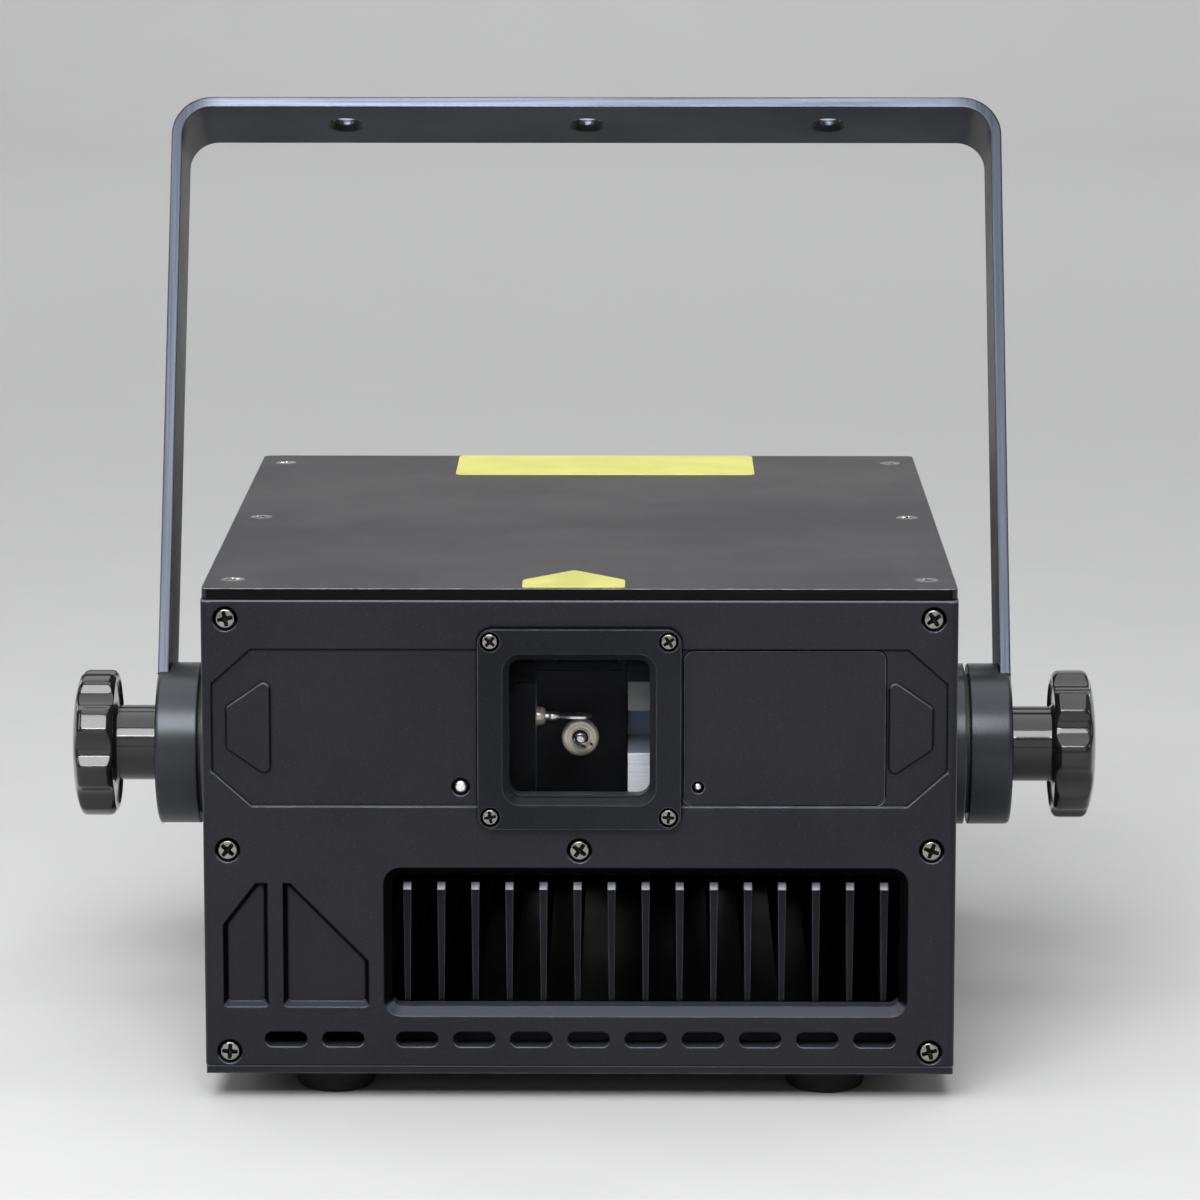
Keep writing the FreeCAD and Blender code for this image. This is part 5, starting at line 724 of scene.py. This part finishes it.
# a foot is a turned path: bore, well, rounded sole, tapered side with two fine moulded ribs, flat top
def footGrid(tall, top, base, sole, well, wellDeep, bore, rib, ribWide, ribsAt, columns, **others):
    side = np.linspace(0.0, 1.0, 40)
    height = sole + (tall - sole) * side
    slope = base + (top - base) * height / tall
    ribs = rib * sum(np.exp(-((side - at) / ribWide) ** 2) for at in ribsAt)
    wall = np.stack([height, slope - rib + ribs], 1)
    low = roundedPath([(tall, bore), (wellDeep, bore), (wellDeep, well), (0, well + 0.3), (0, base - 0.2),
                       tuple(wall[0])], [0, 0, 0, 0.4, sole, 0], 8)
    return turnedPair(np.concatenate([low[:-1], wall, [[tall, bore]]]), columns)


footPart = footGrid(**feet)
newPiece("ribbedFeet", [stood(footPart, (x, y, 0.0), upwards) for x, y in footSpots], "rubberBlack", "housing",
         ("rubber_feet",))
print("screws and feet made")


# scanner

# a pip is its distance from the axis, radius and angle
galvo = {"radius": 6.6, "long": 30.0, "front": (-0.2, -119.5, 120.2), "side": (-12.2, -127.5, 129.6), "bore": 1.7,
         "well": 2.75, "wellDeep": 3.0, "lip": 3.3, "lipDeep": 0.25, "rim": 0.9, "ring": 2.4, "groove": 0.8,
         "grooveDeep": 0.3, "boss": 3.3, "bossLong": 3.2, "edge": 0.8, "pip": (4.5, 0.55, 120.0), "columns": 120}


# a can is a closed turned path: shaft bore, nose, side, back; the nose that faces the window has a well round the
# shaft, a low lip and a bevelled rim, and the one that lies across shows only a rounded boss
def galvoGrid(crosswise, radius, long, bore, well, wellDeep, lip, lipDeep, rim, ring, groove, grooveDeep, boss,
              bossLong, edge, pip, columns, **others):
    if crosswise:
        nose = [(-0.3, bore), (0, bore + 0.3), (-0.5, boss - 0.4), (-1.6, boss), (-bossLong, boss),
                (-bossLong, radius)]
        reach = [0.1, 0.2, 0.8, 0.6, 0.1, 0.1]
    else:
        inner = radius - grooveDeep
        nose = [(-wellDeep, bore), (-wellDeep, well), (0, well + 0.1), (0, lip), (-lipDeep, lip + 0.15),
                (-lipDeep, radius - rim), (-rim * 0.9, radius), (-ring, radius), (-ring - 0.1, inner),
                (-ring - groove + 0.1, inner), (-ring - groove, radius)]
        reach = [0, 0.2, 0.15, 0.15, 0.1, 0.3, 0.4, 0.05, 0.05, 0.05, 0.05]
    back = [(-long + edge, radius), (-long, radius - edge), (-long, bore)]
    path = closeSpaced(roundedPath([(-long, bore)] + nose + back, [0] + reach + [0.3, 0.3, 0], 4), 1.0)
    grid, uv = turnedPair(path, columns)
    sunk = np.zeros(grid.shape[:2])
    # the pip and the well round the shaft are marked sunk, which the finish paints in shade
    if not crosswise:
        out, wide, turn = pip[0], pip[1], math.radians(pip[2])
        away = np.hypot(grid[:, :, 1] - out * math.sin(turn), grid[:, :, 2] - out * math.cos(turn))
        sunk = np.where(grid[:, :, 0] > -rim * 0.5, eased(wide - away, 0.0, 0.25), 0.0)
        inWell = np.hypot(grid[:, :, 1], grid[:, :, 2]) < lip - 0.2
        sunk = np.maximum(sunk, np.where(inWell, eased(-grid[:, :, 0], 0.05, 0.6), 0.0))
    return grid, uv, sunk


newPiece("galvoCans", [stood(galvoGrid(False, **galvo), galvo["front"], towardFront),
                       stood(galvoGrid(True, **galvo), galvo["side"], acrossX, towardRear)],
         "galvoBody", "housing", ("galvo_motors",))

cap = {"radius": 2.05, "back": -2.4, "face": 1.6, "crown": 0.35, "edge": 0.8, "columns": 64}


# the collar that clamps the front mirror: a turned plug over the shaft's end with a low crowned face
def capGrid(radius, back, face, crown, edge, columns):
    corners = [(back, 0), (back, radius), (face, radius), (face + crown, 0)]
    return turnedPair(closeSpaced(roundedPath(corners, [0, 0.1, edge, 0], 6), 0.5), columns)


newPiece("frontMirrorCollar", [stood(capGrid(**cap), galvo["front"], towardFront)], "shaftSteel", "front_scan",
         (), 35.0)

holder = {"start": -11.6, "end": -5.6, "y": -127.5, "z": 129.6, "wide": 2.4, "tall": 1.7, "nose": 0.62}
blade = {"start": -9.6, "end": 4.0, "y": -127.5, "low": 129.1, "thick": 1.0, "root": 1.5, "broad": 3.4}


# the mirror's clamp is a run of rounded-square sections, widest a third of the way along and drawn to a flat tip
def holderGrid(start, end, y, z, wide, tall, nose):
    along = np.linspace(0.0, 1.0, 28)[:, None]
    turn = fullTurn(40)
    swell = np.sin(np.pi * np.clip(along, 0, 1) ** 0.7) ** 0.55
    square = swell * (np.abs(np.cos(turn)) ** 4 + np.abs(np.sin(turn)) ** 4) ** -0.25
    across = wide * (1 - 0.35 * along) * square * np.cos(turn)
    upward = tall * (1 - nose * along) * square * np.sin(turn)
    return np.stack([start + (end - start) * along + 0 * turn, y + across, z + upward], -1) * mm


# rings of points across the cover's plane, each at its height, in metres
def ringStack(rings):
    return np.stack([np.column_stack([ring, np.full(len(ring), height)]) for ring, height in rings]) * mm


# 1 up to the start, then a quarter ellipse down to 0 at the end
def roundTip(run, start):
    return np.sqrt(np.clip(1 - np.clip((run - start) / (1 - start), 0, 1) ** 2, 0, 1))


# a leaf-shaped blade: half width grows smoothly from the root, then closes in a quarter ellipse at the tip;
# each level is the leaf drawn towards its middle, with the rims eased
def bladePlate(start, end, y, low, thick, root, broad):
    run = np.linspace(0.0, 1.0, 40)
    half = root + (broad - root) * eased(run, 0.0, 0.55)
    half *= roundTip(run, 0.78)
    x = start + (end - start) * run
    outline = np.concatenate([np.stack([x, y - half], 1), np.stack([x, y + half], 1)[::-1]])
    outline = np.concatenate([outline, outline[:1]])
    middle = outline.mean(0)
    levels = [(0.0, 0.0), (0.96, 0.0), (1.0, 0.12), (1.0, 0.88), (0.96, 1.0), (0.0, 1.0)]
    return ringStack([(middle + (outline - middle) * inset, low + thick * rise) for inset, rise in levels])


newPiece("mirrorClamp", [(holderGrid(**holder), None)], "shaftSteel", "side_scan", (), 30.0)
newPiece("mirrorBlade", [(bladePlate(**blade), None)], "shaftSteel", "side_scan", ("side_mirror",), 30.0)
print("scanner made")


# fans

rotor = {"middles": {"left": -12.0, "right": 57.0}, "height": 48.0, "start": 130.8, "long": 18.0, "hub": 13.0,
         "tip": 27.6, "blades": 7, "sweep": 16.0, "chordRoot": 44.0, "chordTip": 40.0, "rise": 13.0, "thick": 0.75,
         "camber": 2.2, "columns": 96}


# a blade is a thin rounded loop carried out along the radius: its angle sweeps with the radius, its chord runs
# round the hub and along the axis, and its middle line is bowed by the camber
def bladeGrid(count, hub, tip, blades, sweep, chordRoot, chordTip, rise, thick, camber, **others):
    out = np.linspace(0.0, 1.0, 18)[:, None]
    loop = fullTurn(32)
    chord = np.cos(loop)
    closing = roundTip(out, 0.9)
    reach = hub - 0.6 + (tip - hub + 0.6) * out
    halfChord = np.radians(chordRoot + (chordTip - chordRoot) * out) / 2 * (0.8 + 0.2 * closing)
    angle = 2 * np.pi * count / blades + np.radians(sweep) * out ** 1.4 + halfChord * chord
    along = rise / 2 * chord + camber * (1 - chord ** 2) + thick * closing * np.sin(loop)
    grid = np.stack([along + 0 * angle, reach * np.sin(angle), reach * np.cos(angle)], -1)
    end = grid[-1:]
    return np.concatenate([grid, end.mean(1, keepdims=True) * 0.02 + end * 0.98])


# the hub is a turned cup with a rounded rim and a shallow dish in its face
def hubGrid(long, hub, columns, **others):
    half = long / 2
    corners = [(-half, 0), (-half, hub), (half, hub), (half, hub - 3.0), (half - 0.5, hub - 4.0), (half - 0.5, 0)]
    return turnedPair(closeSpaced(roundedPath(corners, [0, 0.6, 1.4, 0.4, 0.4, 0], 6), 2.0), columns)


for fanName, middle in rotor["middles"].items():
    centre = (middle, rotor["start"] + rotor["long"] / 2, rotor["height"])
    parts = [hubGrid(**rotor)] + [(bladeGrid(count, **rotor), None) for count in range(rotor["blades"])]
    parts = [stood(part, centre, towardRear) for part in parts]
    newPiece(fanName + "FanBlades", parts, "mattePlastic", fanName + "_fan",
             (fanName + "_fan_rotor",), 50.0)

guard = {"rings": (8.0, 14.0, 20.0, 26.0), "wire": 0.72, "lift": 0.03, "spokes": (45, 135), "spokeWide": 1.6,
         "eye": 4.1, "eyeHole": 1.9, "reach": 25.0, "columns": 96, "eyeColumns": 40}


# a wire ring: a small circle carried round a larger one
def wireRing(radius, wire, columns):
    section = fullTurn(12).T
    turn = fullTurn(columns)
    out = radius + wire * np.cos(section) + 0 * turn
    return np.stack([wire * np.sin(section) + 0 * turn, out * np.sin(turn), out * np.cos(turn)], -1)


# a spoke: a flattened round section carried straight from eye to eye, drawn in at both ends
def spokeGrid(angle, reach, eye, spokeWide, wire, **others):
    run = np.linspace(-1.0, 1.0, 15)[:, None]
    turn = fullTurn(24)
    ends = np.clip((1 - np.abs(run)) * 30, 0.0, 1.0) ** 0.5
    lengthwise = (reach * math.sqrt(2) - eye + 0.8) * run + 0 * turn
    across = spokeWide * ends * np.sign(np.cos(turn)) * np.abs(np.cos(turn)) ** 0.6
    return np.stack([wire * ends * np.sin(turn), lengthwise * math.sin(angle) + across * math.cos(angle),
                     lengthwise * math.cos(angle) - across * math.sin(angle)], -1)


# an eye: a flat washer with rounded edges, turned about its own middle
def eyeGrid(wire, eye, eyeHole, eyeColumns, **others):
    corners = [(-wire, eyeHole), (wire, eyeHole), (wire, eye), (-wire, eye), (-wire, eyeHole)]
    return turnedGrid(roundedPath(corners, [0, 0.2, 0.5, 0.5, 0], 5), eyeColumns)


parts = []
for middle in rotor["middles"].values():
    centre = np.array([middle, rear + guard["wire"] + guard["lift"], rotor["height"]])
    wires = [wireRing(radius, guard["wire"], guard["columns"]) for radius in guard["rings"]]
    wires += [spokeGrid(math.radians(angle), **guard) for angle in guard["spokes"]]
    parts += [stood((wire, None), centre, towardRear) for wire in wires]
    parts += [stood((eyeGrid(**guard), None), centre + [x, 0, z], towardRear)
              for x in bothSides(0.0, guard["reach"]) for z in bothSides(0.0, guard["reach"])]
newPiece("wireGuards", parts, "guardWire", "housing", ("fan_guards",), 45.0)
print("fans made")


# bare plates on the cover

rearPlate = {"middle": (7.0, 127.6), "wide": 117.0, "deep": 51.0, "corner": 3.0, "thick": 0.35}
frontPlate = {"middle": -2.0, "frontEdge": -162.0, "wide": 35.4, "strip": 15.0, "peak": 35.5, "corner": 1.4,
              "thick": 0.35}
plateEdge = {"inward": 0.15, "from": 0.6}


# a thin plate: an outline carried up with its top edge drawn in a little, closed to a middle point above and below
def plateGrid(outline, low, thick):
    outline = np.concatenate([outline, outline[:1]])
    middle = outline[:-1].mean(0)
    point = middle + 0 * outline
    inward = middle + (outline - middle) * (1 - plateEdge["inward"] / np.abs(outline - middle).max())
    return ringStack([(point, low), (outline, low), (outline, low + thick * plateEdge["from"]), (inward, low + thick),
                      (point, low + thick)])


def closedOutline(corners, reach):
    corners = np.array(corners, float)
    looped = np.concatenate([corners[-1:], corners, corners[:1]])
    return roundedPath(looped, [0] + [reach] * len(corners) + [0], 8)[1:-1]


left, right = bothSides(rearPlate["middle"][0], rearPlate["wide"] / 2)
near, far = bothSides(rearPlate["middle"][1], rearPlate["deep"] / 2)
rearOutline = closedOutline([(left, near), (right, near), (right, far), (left, far)], rearPlate["corner"])
left, right = bothSides(frontPlate["middle"], frontPlate["wide"] / 2)
near = frontPlate["frontEdge"]
shoulder = near + frontPlate["strip"]
peak = (frontPlate["middle"], near + frontPlate["peak"])
frontOutline = closedOutline([(left, near), (right, near), (right, shoulder), peak, (left, shoulder)],
                             frontPlate["corner"])
for plateName, plate, outline, finish in (("coverRearPlate", rearPlate, rearOutline, "yellowSheet"),
                                          ("coverFrontPlate", frontPlate, frontOutline, "yellowWorn")):
    plateShape = plateGrid(outline, coverTop, plate["thick"])
    newPiece(plateName, [(plateShape, None)], finish, "housing", (), 25.0)
print("plates made")


# eased copies of the solids, and finishes on the rest

easedEdges = {
    "heat_sink": ("finBlack", "housing", "black_metal", 0.20),
    "yoke_bosses": ("bossBlack", "yoke", "yoke_metal", 0.40),
    "safety_bridge": ("blackAnodised", "housing", "black_metal", 0.40),
    "scanner_block": ("blockBlack", "housing", "matte_black", 0.25),
    "scanner_side_plate": ("uprightMetal", "housing", "aluminium", 0.25),
}
for node, (finish, body, slot, width) in easedEdges.items():
    easedCopy(node, finish, body, width)
print("edges eased:", len(easedEdges))

plainFinishes = {
    "panelBlack": ("front_panel",),
    "baseBlack": ("base_plate",),
    "blackAnodised": ("left_side_wall", "right_side_wall", "rear_panel", "front_cover_plate", "power_supply"),
    "coverBlack": ("top_cover",),
    "yokeBlack": ("yoke_bracket",),
    "bezelBlack": ("window_bezel",),
    "blockBlack": ("optical_bench",),
    "blueAnodised": ("laser_modules",),
    "bossBlack": ("pivot_collars",),
    "windowGlass": ("window_glass",),
    "rubberBlack": ("window_gasket",),
    "mirrorFilm": ("front_mirror", "beam_mirrors"),
    "shaftSteel": ("front_shaft", "side_shaft", "left_knob_stud", "right_knob_stud", "front_pins", "key_barrel"),
    "darkScrew": ("collar_screws",),
    "milledAluminium": ("beam_mirror_mounts",),
    "brassContact": ("board_standoffs",),
    "boardGreen": ("circuit_boards",),
    "displayGlass": ("menu_display",),
    "mattePlastic": ("friction_washers", "fan_frames", "power_inlet", "rocker_frame", "interlock_socket"),
    "glossPlastic": ("rocker", "menu_button_1", "menu_button_2", "menu_button_3", "menu_button_4"),
    "nickelShell": ("signal_input", "signal_output", "show_data_socket", "key_switch"),
}
for finish, nodes in plainFinishes.items():
    for node in nodes:
        coat(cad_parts[node].data, finish)
print("other solids dressed:", sum(len(nodes) for nodes in plainFinishes.values()))


# floor, light and camera

# the studio is in metres
studio = {"half": 12.0, "bendStart": 3.6, "bend": 1.4, "wall": 3.0, "pale": (0.50, 0.50, 0.50),
          "paler": (0.53, 0.53, 0.53), "air": (0.86, 0.88, 0.92, 1.0), "airLight": 0.18, "target": (0.0, 0.0, 0.13)}


# the floor runs flat to the bend, turns up a quarter circle and ends as a wall
def sweepGrid(half, bendStart, bend, wall, **others):
    across = np.linspace(-half, half, 9)[None, :]
    flat = np.stack([np.linspace(-half, bendStart, 12), np.zeros(12)], 1)
    turn = np.linspace(0.0, np.pi / 2, 24)[1:]
    curve = np.stack([bendStart + bend * np.sin(turn), bend * (1 - np.cos(turn))], 1)
    upright = np.stack([np.full(4, bendStart + bend), np.linspace(bend, wall, 5)[1:]], 1)
    line = np.concatenate([flat, curve, upright])
    return np.stack(np.broadcast_arrays(across, line[:, :1], line[:, 1:]), -1)


def paperFinish(look):
    tree, shader = newFinish("studioPaper")
    fibre = grain(objectCoords(tree), 14.0, 4.0)
    feed(shader, Base_Color=mixed(fibre, look["pale"], look["paler"]),
         Roughness=ranged(fibre, 0.3, 0.7, 0.78, 0.90))


sweep = sweepGrid(**studio)
sweepMesh = bpy.data.meshes.new("studioSweep")
sweepMesh.from_pydata(sweep.reshape(-1, 3), [], gridFaces(*sweep.shape[:2]))
sweepMesh.shade_smooth()
paperFinish(studio)
coat(sweepMesh, "studioPaper")
sweepObject = bpy.data.objects.new("studioSweep", sweepMesh)
scene.collection.objects.link(sweepObject)

lamps = {
    "overheadBox": {"at": (-0.05, -0.15, 1.75), "size": (1.60, 1.80), "watts": 18.5},
    "keyBox": {"at": (-0.28, -1.39, 1.39), "size": (1.40, 0.68), "watts": 32.0},
    "keyStrip": {"at": (-0.30, -1.85, 1.20), "size": (1.15, 0.070), "watts": 11.0},
    "fillBox": {"at": (-0.72, -9.20, 1.83), "size": (5.77, 3.61), "watts": 58.6},
    "leftBox": {"at": (-1.70, -0.70, 1.00), "size": (0.70, 0.80), "watts": 7.0},
    "rightBox": {"at": (1.60, -0.60, 0.80), "size": (0.50, 0.80), "watts": 4.0},
    "rearLeftBox": {"at": (-2.20, 2.30, 1.00), "size": (0.90, 0.90), "watts": 9.0},
    "rearRightBox": {"at": (2.20, 2.30, 1.00), "size": (0.90, 0.90), "watts": 9.0},
    "floorBox": {"at": (0.00, 2.40, 2.80), "size": (5.00, 1.60), "watts": 36.0, "aim": (0.0, 2.9, 0.0)},
    "backdropBox": {"at": (0.00, 3.10, 2.50), "size": (4.00, 0.60), "watts": 40.0, "aim": (0.0, 5.0, 0.6)},
}
for lampName, lamp in lamps.items():
    lightData = bpy.data.lights.new(lampName, "AREA")
    lightData.shape = "RECTANGLE"
    lightData.size, lightData.size_y = lamp["size"]
    lightData.energy = lamp["watts"]
    light = bpy.data.objects.new(lampName, lightData)
    light.location = lamp["at"]
    aim = Vector(lamp.get("aim", studio["target"])) - light.location
    light.rotation_euler = aim.to_track_quat("-Z", "Y").to_euler()
    scene.collection.objects.link(light)
world = bpy.data.worlds.new("softRoom")
world.use_nodes = True
air = world.node_tree.nodes["Background"].inputs
air[0].default_value, air[1].default_value = studio["air"], studio["airLight"]
scene.world = world

shot = {"place": (21.2, -1979.2, 489.1), "down": 9.751, "turn": -0.445, "lens": 161.36, "sensor": 36.0, "far": 30.0}
down, turn = math.radians(shot["down"]), math.radians(shot["turn"])
lensData = bpy.data.cameras.new("photoCamera")
lensData.lens, lensData.sensor_width = shot["lens"], shot["sensor"]
lensData.clip_end = shot["far"]
photoCamera = bpy.data.objects.new("photoCamera", lensData)
aim = Euler((math.pi / 2 - down, 0.0, -turn)).to_matrix().to_4x4()
photoCamera.matrix_world = Matrix.Translation(Vector(shot["place"]) * mm) @ aim
scene.collection.objects.link(photoCamera)
scene.camera = photoCamera
scene.view_settings.view_transform = "Standard"
print("studio set")
